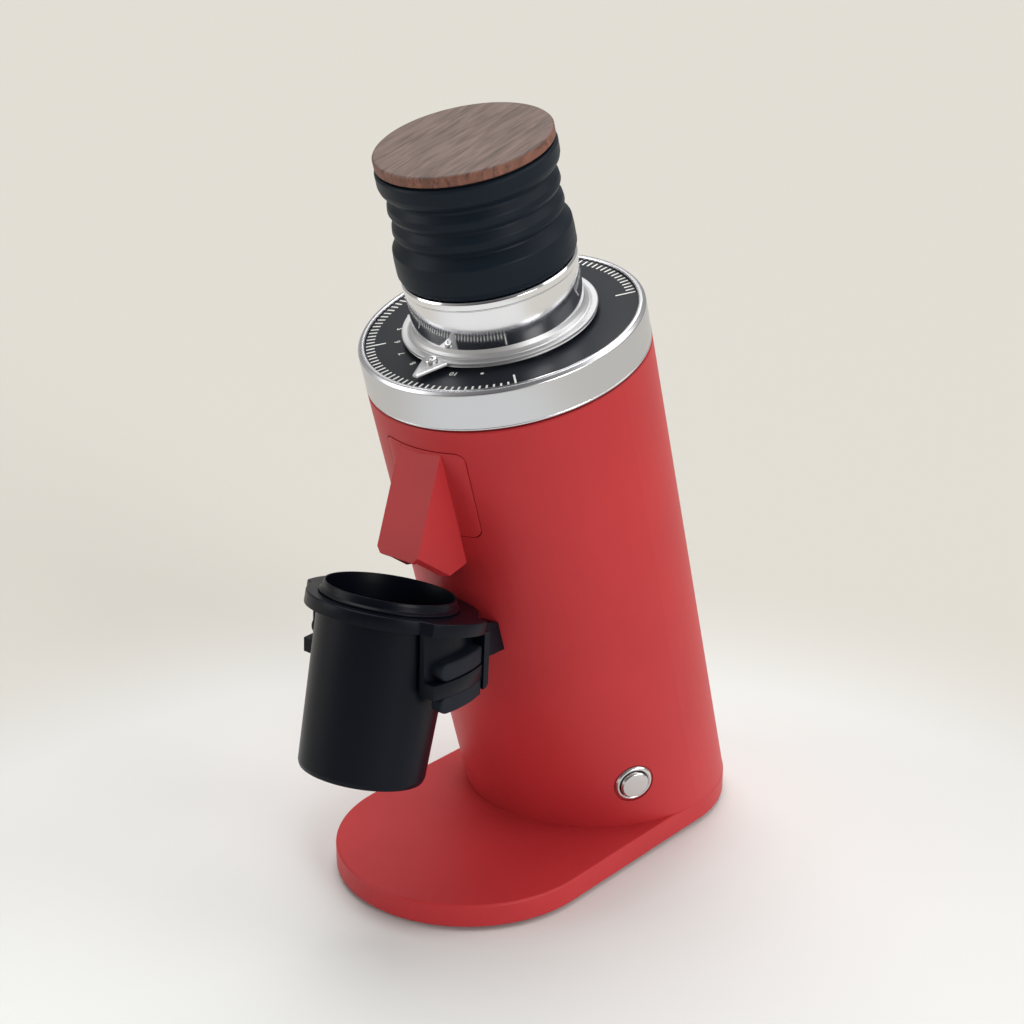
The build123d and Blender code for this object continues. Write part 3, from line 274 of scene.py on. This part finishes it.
# ---------------------------------------------------------------------------
# Materials
# ---------------------------------------------------------------------------
class Finish:
    """A material being built: its node tree, its shader and short ways to add nodes."""

    def __init__(self, name, colour, roughness, metallic=0.0):
        self.material = bpy.data.materials.new(name)
        self.material.use_nodes = True
        self.tree = self.material.node_tree
        self.shader = self.tree.nodes["Principled BSDF"]
        self.set("Base Color", (*colour, 1.0))
        self.set("Roughness", roughness)
        self.set("Metallic", metallic)

    def set(self, socket, value):
        self.shader.inputs[socket].default_value = value

    def node(self, kind, **settings):
        made = self.tree.nodes.new(kind)
        for key, value in settings.items():
            setattr(made, key, value)
        return made

    def link(self, source, target):
        self.tree.links.new(source, target)

    def coordinates(self, scale=(1.0, 1.0, 1.0), shift=(0.0, 0.0, 0.0)):
        """Object coordinates, scaled and shifted."""
        source = self.node("ShaderNodeTexCoord").outputs["Object"]
        mapping = self.node("ShaderNodeMapping")
        mapping.inputs["Scale"].default_value = scale
        mapping.inputs["Location"].default_value = shift
        self.link(source, mapping.inputs["Vector"])
        return mapping.outputs["Vector"]

    def turned(self):
        """Coordinates that change only across a lathe's cutting lines: (radius, height, 0)."""
        source = self.coordinates()
        split = self.node("ShaderNodeSeparateXYZ")
        self.link(source, split.inputs[0])
        flat = self.node("ShaderNodeCombineXYZ")
        self.link(split.outputs["X"], flat.inputs["X"])
        self.link(split.outputs["Y"], flat.inputs["Y"])
        radius = self.node("ShaderNodeVectorMath", operation="LENGTH")
        self.link(flat.outputs[0], radius.inputs[0])
        lines = self.node("ShaderNodeCombineXYZ")
        self.link(radius.outputs["Value"], lines.inputs["X"])
        self.link(split.outputs["Z"], lines.inputs["Y"])
        return lines.outputs[0]

    def noise(self, vector, scale, detail=4.0, roughness=0.5, distortion=0.0):
        made = self.node("ShaderNodeTexNoise")
        made.inputs["Scale"].default_value = scale
        made.inputs["Detail"].default_value = detail
        made.inputs["Roughness"].default_value = roughness
        made.inputs["Distortion"].default_value = distortion
        self.link(vector, made.inputs["Vector"])
        return made.outputs["Fac"]

    def ramp(self, source, stops):
        """A colour ramp from (position, colour) stops."""
        made = self.node("ShaderNodeValToRGB")
        elements = made.color_ramp.elements
        while len(elements) < len(stops):
            elements.new(0.5)
        for element, (position, colour) in zip(elements, stops):
            element.position = position
            element.color = (*colour, 1.0)
        self.link(source, made.inputs["Fac"])
        return made.outputs["Color"]

    def between(self, source, low, high):
        """The source, 0 to 1, mapped to a range."""
        made = self.node("ShaderNodeMapRange")
        made.inputs["To Min"].default_value = low
        made.inputs["To Max"].default_value = high
        self.link(source, made.inputs["Value"])
        return made.outputs["Result"]

    def bump(self, height, strength, distance):
        made = self.node("ShaderNodeBump")
        made.inputs["Strength"].default_value = strength
        made.inputs["Distance"].default_value = distance
        self.link(height, made.inputs["Height"])
        if self.shader.inputs["Normal"].is_linked:
            self.link(self.shader.inputs["Normal"].links[0].from_socket, made.inputs["Normal"])
        self.link(made.outputs["Normal"], self.shader.inputs["Normal"])

    def colour_from(self, source):
        self.link(source, self.shader.inputs["Base Color"])

    def roughness_from(self, source):
        self.link(source, self.shader.inputs["Roughness"])


def painted_red():
    """Satin powder coat: a fine orange peel and a faint unevenness of colour."""
    coat = Finish("red_powder_coat", (0.50, 0.030, 0.036), 0.46)
    coat.set("Specular IOR Level", 0.26)
    spread = coat.noise(coat.coordinates(), 14.0, 3.0)
    coat.colour_from(coat.ramp(spread, [(0.3, (0.45, 0.026, 0.031)), (0.7, (0.51, 0.032, 0.037))]))
    fine = coat.noise(coat.coordinates(), 1400.0, 2.0)
    coat.roughness_from(coat.between(spread, 0.43, 0.50))
    coat.bump(fine, 0.10, 0.00006)
    peel = coat.noise(coat.coordinates(), 320.0, 1.0)
    coat.bump(peel, 0.08, 0.0002)
    return coat.material


def turned_metal(name, colour, roughness, line_strength, streak=0.0):
    """Metal from the lathe: fine rings along its own Z axis and its radius."""
    metal = Finish(name, colour, roughness, 1.0)
    lines = metal.noise(metal.turned(), 2600.0, 3.0, 0.7)
    wide = metal.noise(metal.turned(), 420.0, 2.0)
    if streak:
        metal.set("Anisotropic", streak)
        around = metal.node("ShaderNodeTangent", direction_type="RADIAL", axis="Z")
        metal.link(around.outputs["Tangent"], metal.shader.inputs["Tangent"])
    metal.roughness_from(metal.between(wide, roughness * 0.8, roughness * 1.25))
    metal.bump(lines, line_strength, 0.00002)
    return metal.material


def plain_metal(name, colour, roughness):
    """Metal with an even fine grain."""
    metal = Finish(name, colour, roughness, 1.0)
    grain = metal.noise(metal.coordinates(), 900.0, 3.0)
    metal.roughness_from(metal.between(grain, roughness * 0.8, roughness * 1.2))
    metal.bump(grain, 0.15, 0.00003)
    return metal.material


def moulded(name, colour, roughness, grain_scale=900.0, grain=0.12, specular=0.5):
    """Moulded rubber or plastic with a fine grain and soft patches in its gloss."""
    part = Finish(name, colour, roughness)
    part.set("Specular IOR Level", specular)
    fine = part.noise(part.coordinates(), grain_scale, 2.0)
    patch = part.noise(part.coordinates(), 45.0, 3.0)
    part.roughness_from(part.between(patch, roughness - 0.06, roughness + 0.06))
    part.bump(fine, grain, 0.00005)
    return part.material


def anodised():
    """Matte black anodised aluminium, with a very fine turned texture."""
    part = Finish("black_anodising", (0.003, 0.0042, 0.0085), 0.33)
    part.set("Specular IOR Level", 0.12)
    fine = part.noise(part.coordinates(), 1800.0, 2.0)
    patch = part.noise(part.coordinates(), 30.0, 3.0)
    part.roughness_from(part.between(patch, 0.29, 0.38))
    part.bump(fine, 0.12, 0.00003)
    return part.material


# Painted sheen: the lid's edge is tinted redder than its face, standing in for the sheen that greys the face. The
# edge tint starts this far below the face, and the face's colour ends this far below it.
EDGE_DEPTH = 0.6 * MM
FACE_DEPTH = 0.2 * MM


def walnut():
    """Oiled walnut with long grain bands, fine fibres, open pores, and an edge painted redder than the face in
    place of the face's sheen.
    """
    wood = Finish("walnut_wood", (0.2, 0.1, 0.06), 0.55)
    wood.set("Specular IOR Level", 0.6)
    stretched = wood.coordinates((1.0, 0.13, 0.25))
    bands = wood.noise(stretched, 300.0, 4.0, 0.55, 0.8)
    colour = wood.ramp(bands, [
        (0.28, (0.100, 0.060, 0.048)),
        (0.48, (0.165, 0.106, 0.088)),
        (0.66, (0.215, 0.146, 0.124)),
        (0.82, (0.140, 0.088, 0.070)),
    ])
    fibres = wood.noise(wood.coordinates((1.0, 0.045, 0.3)), 1500.0, 3.0, 0.6)
    pores = wood.noise(wood.coordinates((1.0, 0.07, 0.4)), 850.0, 2.0, 0.5)
    dark = wood.ramp(pores, [(0.36, (0.55, 0.52, 0.51)), (0.46, (1.0, 1.0, 1.0))])
    mix = wood.node("ShaderNodeMix", data_type="RGBA", blend_type="MULTIPLY")
    mix.inputs["Factor"].default_value = 1.0
    wood.link(colour, mix.inputs["A"])
    wood.link(dark, mix.inputs["B"])
    lit = wood.node("ShaderNodeMix", data_type="RGBA", blend_type="MULTIPLY")
    lit.inputs["Factor"].default_value = 0.7
    wood.link(mix.outputs["Result"], lit.inputs["A"])
    wood.link(wood.ramp(fibres, [(0.3, (0.62, 0.60, 0.58)), (0.7, (1.15, 1.12, 1.10))]), lit.inputs["B"])
    along = wood.node("ShaderNodeSeparateXYZ")
    wood.link(wood.coordinates(), along.inputs[0])
    edge = wood.node("ShaderNodeMapRange")
    face = Extent("lid_disc").high
    edge.inputs["From Min"].default_value = face - EDGE_DEPTH
    edge.inputs["From Max"].default_value = face - FACE_DEPTH
    wood.link(along.outputs["Z"], edge.inputs["Value"])
    # Painted sheen: the edge is tinted redder than the face, which stands in for the sheen that greys the face.
    sheen_edge_tint = wood.node("ShaderNodeMix", data_type="RGBA", blend_type="MULTIPLY")
    sheen_edge_tint.inputs["Factor"].default_value = 1.0
    wood.link(lit.outputs["Result"], sheen_edge_tint.inputs["A"])
    wood.link(wood.ramp(edge.outputs["Result"], [(0.0, (1.15, 0.66, 0.48)), (1.0, (1.0, 1.0, 1.0))]),
              sheen_edge_tint.inputs["B"])
    wood.colour_from(sheen_edge_tint.outputs["Result"])
    wood.roughness_from(wood.between(fibres, 0.48, 0.66))
    wood.bump(pores, 0.35, 0.00012)
    wood.bump(fibres, 0.20, 0.00005)
    return wood.material


def make_finishes():
    """One finish for each material slot of the record."""
    return {
        "red_paint": painted_red(),
        "polished_aluminium": turned_metal("polished_aluminium", (0.62, 0.625, 0.655), 0.24, 0.04, 0.7),
        "satin_aluminium": turned_metal("satin_aluminium", (0.60, 0.605, 0.615), 0.46, 0.04),
        "mirror_aluminium": turned_metal("mirror_aluminium", (0.80, 0.805, 0.825), 0.10, 0.02),
        "stainless_turned": turned_metal("stainless_turned", (0.68, 0.68, 0.68), 0.24, 0.12),
        "black_anodised": anodised(),
        "dial_black": moulded("dial_black", (0.012, 0.015, 0.022), 0.38, 700.0, 0.05, 0.20),
        "silicone_black": moulded("silicone", (0.007, 0.0125, 0.0205), 0.44, 1100.0, 0.08, 0.13),
        "black_rubber": moulded("rubber", (0.009, 0.0125, 0.019), 0.58, 800.0, 0.18, 0.14),
        "black_plastic": moulded("plastic", (0.02, 0.02, 0.022), 0.42),
        "walnut": walnut(),
        "stainless": plain_metal("stainless", (0.70, 0.70, 0.70), 0.26),
        "burr_steel": plain_metal("burr_steel", (0.52, 0.52, 0.54), 0.30),
        "zinc_steel": plain_metal("zinc_steel", (0.60, 0.61, 0.62), 0.32),
        "cast_aluminium": plain_metal("cast_aluminium", (0.56, 0.57, 0.58), 0.50),
        "machined_steel": plain_metal("machined_steel", (0.50, 0.50, 0.51), 0.28),
        "laminations": plain_metal("laminations", (0.22, 0.22, 0.23), 0.45),
        "copper_windings": plain_metal("copper_windings", (0.60, 0.26, 0.11), 0.35),
        "board_green": moulded("solder_mask", (0.03, 0.16, 0.08), 0.35),
        "capacitor_white": moulded("capacitor_case", (0.72, 0.72, 0.70), 0.45),
        "black_screw": plain_metal("black_oxide", (0.05, 0.05, 0.055), 0.38),
        "white_ink": moulded("white_ink", (0.92, 0.92, 0.90), 0.55, 900.0, 0.05),
    }


def dress_nodes(finishes):
    """Give every carried-over CAD node its slot's finish."""
    slots = {entry["node"]: entry["material_slot"] for entry in frame["record"]["subparts"]}
    for name, node in frame["nodes"].items():
        mesh = node.data
        mesh.materials.clear()
        mesh.materials.append(finishes[slots[name]])
        mesh.polygons.foreach_set("material_index", [0] * len(mesh.polygons))


# ---------------------------------------------------------------------------
# Turned pieces
# ---------------------------------------------------------------------------
def outline(corners, base=0.0):
    """A closed outline from (radius, height, round) in millimetres, heights above a base in metres."""
    return rounded([
        (corner[0] * MM, base + corner[1] * MM, (corner[2] if len(corner) > 2 else 0.0) * MM)
        for corner in corners
    ])


def place_piece(piece, body, slot, *nodes):
    """Fix a piece to its body, in the place of any CAD nodes named. The slot is not used."""
    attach(piece, body)
    if nodes:
        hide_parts(*nodes)


def make_collar():
    """The bright adjusting collar: a rounded rim, a straight flank and a thin lower edge."""
    node = Extent("adjusting_collar")
    radius = node.outer / MM
    top = node.high
    profile = outline([
        (52.5, -35.2), (55.9, -35.2), (55.9, -17.8),
        (radius - 0.3, -18.0, 0.1), (radius, -17.6, 0.2), (radius, -17.1, 0.2),
        (radius - 0.12, -16.9, 0.1), (radius - 0.12, -1.6, 1.4), (radius - 1.4, -0.1, 1.0),
        (60.2, 0.0, 0.6), (59.6, -0.05, 0.25), (59.3, -0.5, 0.2), (59.3, -2.8), (44.6, -2.8),
        (44.6, -14.2), (52.5, -14.2), (52.5, -21.2), (47.0, -21.2), (47.0, -25.1), (52.5, -25.1),
    ], top)
    piece = lathe("collar_ring", profile, COLUMN, finishes["polished_aluminium"], steps=WIDE_STEPS)
    place_piece(piece, "collar", "polished_aluminium", "adjusting_collar")


def make_dial():
    """The flat black dial, with its edges just broken."""
    node = Extent("dial_plate")
    profile = outline([
        (39.6, -1.4), (59.15, -1.4), (59.15, 0.0, 0.15), (39.6, 0.0, 0.3),
    ], node.high)
    piece = lathe("dial_face", profile, COLUMN, finishes["dial_black"], steps=WIDE_STEPS)
    place_piece(piece, "collar", "dial_black", "dial_plate")


def polar(radius, turn, height):
    """A point in the column frame: turn 0 is the front, and a positive turn goes towards +X."""
    return Vector((radius * math.sin(turn), -radius * math.cos(turn), height))


TICK_STEP = 3
SCALE_END = 46
TICK_COUNT = 91
LONG_TICKS = (0, 31, 90)
TICK_OUTER = 58.7 * MM
TICK_INNER = 55.0 * MM
LONG_TICK_INNER = 50.0 * MM
TICK_HALF = 0.42 * MM
DOT_TURN = 30
DOT_RADIUS = 0.75 * MM
DOT_STEPS = 20
NUMBER_STEP = 15
NUMBER_LAST_TURN = 14
NUMBER_LAST = 10
NUMBER_RADIUS = 44.9 * MM
NUMBER_SIZE = 3.7 * MM
NUMBER_WEIGHT = 0.06 * MM
INK_HEIGHT = 0.05 * MM


def make_scale():
    """The dial's ticks and numbers, as thin raised ink."""
    top = Extent("dial_plate").high
    work = bmesh.new()
    for tick in range(TICK_COUNT):
        turn = math.radians(SCALE_END - TICK_STEP * tick)
        start = LONG_TICK_INNER if tick in LONG_TICKS else TICK_INNER
        low_ring = []
        high_ring = []
        for radius, side in ((start, -1), (TICK_OUTER, -1), (TICK_OUTER, 1), (start, 1)):
            lean = side * TICK_HALF / radius
            low_ring.append(work.verts.new(polar(radius, turn + lean, top - INK_HEIGHT)))
            high_ring.append(work.verts.new(polar(radius, turn + lean, top + INK_HEIGHT)))
        prism(work, low_ring, high_ring)
    middle = polar(NUMBER_RADIUS, math.radians(DOT_TURN), top)
    low_ring = []
    high_ring = []
    for k in range(DOT_STEPS):
        angle = math.radians(360 * k / DOT_STEPS)
        spot = middle + Vector((math.cos(angle), math.sin(angle), 0)) * DOT_RADIUS
        low_ring.append(work.verts.new(spot - Vector((0, 0, INK_HEIGHT))))
        high_ring.append(work.verts.new(spot + Vector((0, 0, INK_HEIGHT))))
    prism(work, low_ring, high_ring)
    mesh = bpy.data.meshes.new("dial_ticks")
    bmesh.ops.recalc_face_normals(work, faces=work.faces)
    work.to_mesh(mesh)
    work.free()
    place_piece(new_object("dial_ticks", mesh, COLUMN, finishes["white_ink"]), "collar", "dial_black")
    for number in range(NUMBER_LAST + 1):
        degrees = NUMBER_LAST_TURN - NUMBER_STEP * (NUMBER_LAST - number)
        make_number(number, math.radians(degrees), top)


def prism(work, low_ring, high_ring):
    """Close the space between two rings of vertices."""
    count = len(low_ring)
    work.faces.new(low_ring[::-1])
    work.faces.new(high_ring)
    for k in range(count):
        n = (k + 1) % count
        work.faces.new((low_ring[k], low_ring[n], high_ring[n], high_ring[k]))


def make_number(number, turn, top):
    """One number of the dial, read from outside, as thin raised ink."""
    text = bpy.data.curves.new(f"figure_{number}", "FONT")
    text.body = str(number)
    text.size = NUMBER_SIZE
    text.extrude = INK_HEIGHT
    text.offset = NUMBER_WEIGHT
    text.align_x = "CENTER"
    text.align_y = "CENTER"
    text.resolution_u = 3
    source = bpy.data.objects.new(f"figure_{number}", text)
    mesh = bpy.data.meshes.new_from_object(source)
    bpy.data.objects.remove(source)
    away = polar(1.0, turn, 0.0)
    across = away.cross(Vector((0, 0, 1)))
    turn_to = Matrix((across, away, Vector((0, 0, 1)))).transposed().to_4x4()
    place = COLUMN @ Matrix.Translation(polar(NUMBER_RADIUS, turn, top)) @ turn_to
    piece = new_object(f"dial_number_{number}", mesh, place, finishes["white_ink"])
    place_piece(piece, "collar", "dial_black")


def make_throat():
    """The polished throat: a bead below the bellows, and the funnel inside."""
    node = Extent("hopper_throat")
    profile = outline([
        (23.5, 0.0), (37.2, 0.0), (37.2, 48.0, 0.3), (37.4, 48.15, 0.1), (37.4, 48.5, 0.1),
        (37.7, 48.8, 0.25), (37.7, 51.2, 0.5), (37.1, 52.15, 0.5),
        (35.5, 52.2), (35.5, 63.0, 0.4), (33.4, 63.0, 0.4), (33.4, 16.0, 3.0),
    ], node.low)
    piece = lathe("throat_tube", profile, COLUMN, finishes["mirror_aluminium"], steps=WIDE_STEPS)
    place_piece(piece, "burr_carrier", "polished_aluminium", "hopper_throat")


POINTER_TIP = 55.0
POINTER_ROOT = 41.4
POINTER_ROOT_HALF = 6.8
POINTER_TIP_HALF = 1.1
# How far in each of the pointer's outlines lies, and its height: broken edges below and above.
POINTER_ROWS = ((0.3, 0.7), (0.0, 1.0), (0.0, 1.8), (0.25, 2.3), (0.7, 2.48))


def make_pointer():
    """The flange round the throat with its fine steps, and the pointer that reads the dial."""
    node = Extent("pointer_ring")
    base = node.low
    profile = outline([
        (37.25, 0.0), (41.8, 0.0, 0.1), (42.15, 0.25, 0.1), (41.9, 0.5, 0.1), (42.2, 0.75, 0.1),
        (41.95, 1.0, 0.1), (42.5, 1.25, 0.15), (42.5, 2.15, 0.3), (42.1, 2.48, 0.2), (41.0, 2.5, 0.1),
        (39.95, 2.5, 0.1), (39.8, 2.25, 0.05), (39.6, 2.25, 0.05), (39.45, 2.6, 0.15),
        (38.8, 2.9, 1.2), (37.8, 3.9, 1.2), (37.3, 5.6, 0.6), (37.25, 5.7),
    ], base)
    ring = lathe("throat_flange", profile, COLUMN, finishes["satin_aluminium"], steps=WIDE_STEPS)
    place_piece(ring, "burr_carrier", "polished_aluminium", "pointer_ring")
    corners = [
        (-POINTER_ROOT_HALF, -POINTER_ROOT), (-POINTER_TIP_HALF, -POINTER_TIP),
        (POINTER_TIP_HALF, -POINTER_TIP), (POINTER_ROOT_HALF, -POINTER_ROOT),
    ]
    rows = []
    for inset, height in POINTER_ROWS:
        rows.append([
            Vector((x * MM, y * MM, base + height * MM)) for x, y in inset_outline(corners, inset)
        ])
    piece = stack("dial_pointer", rows, COLUMN, finishes["satin_aluminium"])
    place_piece(piece, "burr_carrier", "polished_aluminium")


def inset_outline(corners, amount):
    """The corners of a closed outline, each moved in by an amount square to its two sides."""
    count = len(corners)
    middle = sum((Vector(c) for c in corners), Vector((0.0, 0.0))) / count
    moved = []
    for i in range(count):
        here = Vector(corners[i])
        before = (here - Vector(corners[i - 1])).normalized()
        after = (Vector(corners[(i + 1) % count]) - here).normalized()
        normal_before = Vector((before.y, -before.x))
        normal_after = Vector((after.y, -after.x))
        bisector = normal_before + normal_after
        if bisector.length < 1e-9:
            bisector = normal_before
        bisector.normalize()
        if bisector.dot(middle - here) < 0:
            bisector.negate()
        reach = amount / max(0.2, abs(bisector.dot(normal_before)))
        moved.append(tuple(here + bisector * reach))
    return moved


def stack(name, rows, place, material):
    """A closed solid skinned through rows of points, capped at both ends."""
    work = bmesh.new()
    rings = [[work.verts.new(point) for point in row] for row in rows]
    count = len(rows[0])
    work.faces.new(rings[0][::-1])
    work.faces.new(rings[-1])
    for low_ring, high_ring in zip(rings, rings[1:]):
        for k in range(count):
            n = (k + 1) % count
            work.faces.new((low_ring[k], low_ring[n], high_ring[n], high_ring[k]))
    bmesh.ops.recalc_face_normals(work, faces=work.faces)
    mesh = bpy.data.meshes.new(name)
    work.to_mesh(mesh)
    work.free()
    return new_object(name, mesh, place, material)


def make_bellows():
    """The moulded bellows in one piece: cuff, two folds and the thick top band."""
    cuff = Extent("bellows")
    band = Extent("bellows_rim")
    base = cuff.low
    top = (band.high - cuff.low) / MM
    profile = outline([
        (35.8, 0.0), (36.2, 0.0, 0.3), (37.6, 1.3, 1.2), (38.3, 3.4, 1.6), (38.3, 9.5, 3.0),
        (38.0, 14.0, 1.6), (34.1, 18.1, 0.5), (33.7, 19.0, 0.4), (35.3, 19.8, 0.6), (36.3, 21.8, 1.2),
        (35.9, 24.4, 1.6), (34.0, 27.5, 0.5), (33.7, 28.4, 0.4), (35.3, 29.2, 0.6), (36.3, 31.2, 1.2),
        (35.9, 33.8, 1.6), (34.0, 36.7, 0.5), (33.8, 37.7, 0.5), (34.6, 38.9, 0.5), (36.5, 39.8, 0.8),
        (37.5, 41.2, 1.2), (38.0, 43.0, 1.2),
        (38.0, top - 1.0, 0.8), (37.2, top, 0.8), (33.0, top, 0.4), (33.0, 40.6, 0.4),
        (30.6, 39.2, 0.6), (30.6, 12.8, 0.6), (35.8, 11.6, 0.3),
    ], base)
    piece = lathe("bellows_sleeve", profile, COLUMN, finishes["silicone_black"])
    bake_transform(piece)
    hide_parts("bellows", "bellows_rim")


LID_RINGS = (0.85, 0.7, 0.5, 0.3, 0.12)


def make_lid():
    """The walnut disc, with an eased edge above and below."""
    node = Extent("lid_disc")
    radius = node.outer / MM
    top = (node.high - node.low) / MM
    rings = [(radius * share, top) for share in LID_RINGS]
    profile = outline([
        (0.0, 0.0), (radius - 0.5, 0.0, 0.3), (radius, 0.5, 0.4), (radius, top - 0.7, 0.35),
        (radius - 0.35, top - 0.3, 0.2), (radius - 0.8, top, 0.25), *rings, (0.0, top),
    ], node.low)
    piece = lathe("wooden_lid", profile, COLUMN, finishes["walnut"], loop=False, sharp=LID_SHARP_ANGLE)
    place_piece(piece, "lid", "walnut", "lid_disc")


def make_cup():
    """The dosing cup: a thin lip over a groove and shoulder, then a slightly tapered body."""
    node = Extent("dosing_cup", CUP)
    depth = (node.high - node.low) / MM
    profile = outline([
        (0.0, 0.0), (24.6, 0.0, 0.2), (26.6, 0.5, 0.9), (27.3, 2.5, 1.4), (29.5, depth - 11.2, 0.2),
        (29.5, depth - 5.0, 0.2), (29.8, depth - 4.7, 0.25), (29.8, depth - 4.1, 0.3),
        (28.55, depth - 3.3, 0.25), (28.4, depth - 1.2, 0.5), (28.15, depth - 0.1, 0.25),
        (27.85, depth, 0.15), (27.5, depth - 0.2, 0.2), (27.3, depth - 4.6, 0.6),
        (25.7, 4.4, 2.0), (23.7, 2.0, 1.6), (0.0, 2.0),
    ], node.low)
    piece = lathe("cup_body", profile, CUP, finishes["black_anodised"], loop=False)
    place_piece(piece, "cup", "black_anodised", "dosing_cup")


def make_button():
    """The steel push button: a rounded bezel with the cap standing in it."""
    out = -Vector(joint("power_button")["axis"])
    low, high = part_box("button_cap")
    place = place_on((low + high) / 2, out)
    bezel = Extent("button_bezel", place)
    cap = Extent("button_cap", place)
    ring = outline([
        (6.9, -19.5), (7.9, -19.5), (7.9, -1.95), (9.0, -1.9), (9.0, -0.9, 0.5), (8.3, -0.1, 0.6),
        (7.6, 0.0, 0.3), (7.05, -0.45, 0.2), (6.9, -0.9, 0.2),
    ], bezel.high)
    piece = lathe("button_ring", ring, place, finishes["stainless_turned"], steps=SMALL_STEPS)
    place_piece(piece, "housing", "stainless", "button_bezel")
    length = (cap.high - cap.low) / MM
    face = outline([
        (0.0, 0.0), (6.6, 0.0, 0.2), (6.6, length - 0.7, 0.5), (6.0, length - 0.02, 0.4),
        (3.0, length), (0.0, length),
    ], cap.low)
    piece = lathe("button_face", face, place, finishes["stainless_turned"], loop=False, steps=SMALL_STEPS)
    place_piece(piece, "button", "stainless", "button_cap")


WELD_DISTANCE = 0.002 * MM
BEVEL_ANGLE = math.radians(28)
BEVEL_STEPS = 3
# The bevel of each node, in millimetres.
SOFT_NODES = {
    "chute_cover": 0.45,
    "cup_ring": 0.3,
    "fork_bracket": 0.35,
    "power_inlet": 0.3,
    "pointer_screw": 0.12,
}


def soften_edges():
    """Small bevels on the CAD nodes whose edges would otherwise be knife sharp."""
    for name, width in SOFT_NODES.items():
        node = frame["nodes"][name]
        weld = node.modifiers.new("weld", "WELD")
        weld.merge_threshold = WELD_DISTANCE
        bevel = node.modifiers.new("bevel", "BEVEL")
        bevel.width = width * MM
        bevel.segments = BEVEL_STEPS
        bevel.limit_method = "ANGLE"
        bevel.angle_limit = BEVEL_ANGLE
        bevel.use_clamp_overlap = True
        bevel.harden_normals = True


# ---------------------------------------------------------------------------
# Stage
# ---------------------------------------------------------------------------
FLOOR_RADIUS = 6.0
FLOOR_STEPS = 96
# Painted pool of light on the floor: how far its centre moves towards the camera, and where it starts and ends
# fading, in metres.
LIGHT_POOL_SHIFT = 0.14
LIGHT_POOL_INNER = 0.16
LIGHT_POOL_OUTER = 0.50


def make_stage():
    """A wide pale floor with a painted pool of light round the object, its centre moved towards the camera where
    the object's shadow falls, and darker and warmer further out.
    """
    floor = Finish("floor_light_pool", (0.76, 0.77, 0.75), 0.75)
    floor.set("Specular IOR Level", 0.2)
    # Painted light: the floor's colour is lighter in a pool round the object, centred where the object's shadow
    # falls, to lift that shadow.
    source = floor.coordinates(shift=direction(VIEW_TURN, 0.0) * -LIGHT_POOL_SHIFT)
    reach = floor.node("ShaderNodeVectorMath", operation="LENGTH")
    floor.link(source, reach.inputs[0])
    spread = floor.node("ShaderNodeMapRange", interpolation_type="SMOOTHERSTEP")
    spread.inputs["From Min"].default_value = LIGHT_POOL_INNER
    spread.inputs["From Max"].default_value = LIGHT_POOL_OUTER
    floor.link(reach.outputs["Value"], spread.inputs["Value"])
    floor.colour_from(floor.ramp(spread.outputs["Result"], [
        (0.0, (0.755, 0.77, 0.757)), (0.45, (0.725, 0.74, 0.725)), (1.0, (0.615, 0.60, 0.552)),
    ]))
    mesh = bpy.data.meshes.new("stage")
    ring = [2 * math.pi * k / FLOOR_STEPS for k in range(FLOOR_STEPS)]
    verts = [(FLOOR_RADIUS * math.cos(a), FLOOR_RADIUS * math.sin(a), 0.0) for a in ring]
    mesh.from_pydata(verts, [], [tuple(range(FLOOR_STEPS))])
    new_object("stage", mesh, Matrix.Identity(4), floor.material)


bpy.context.scene.view_settings.view_transform = "Standard"
make_camera()
make_lights()
make_stage()
finishes = make_finishes()
dress_nodes(finishes)
soften_edges()
make_collar()
make_dial()
make_scale()
make_throat()
make_pointer()
make_bellows()
make_lid()
make_cup()
make_button()
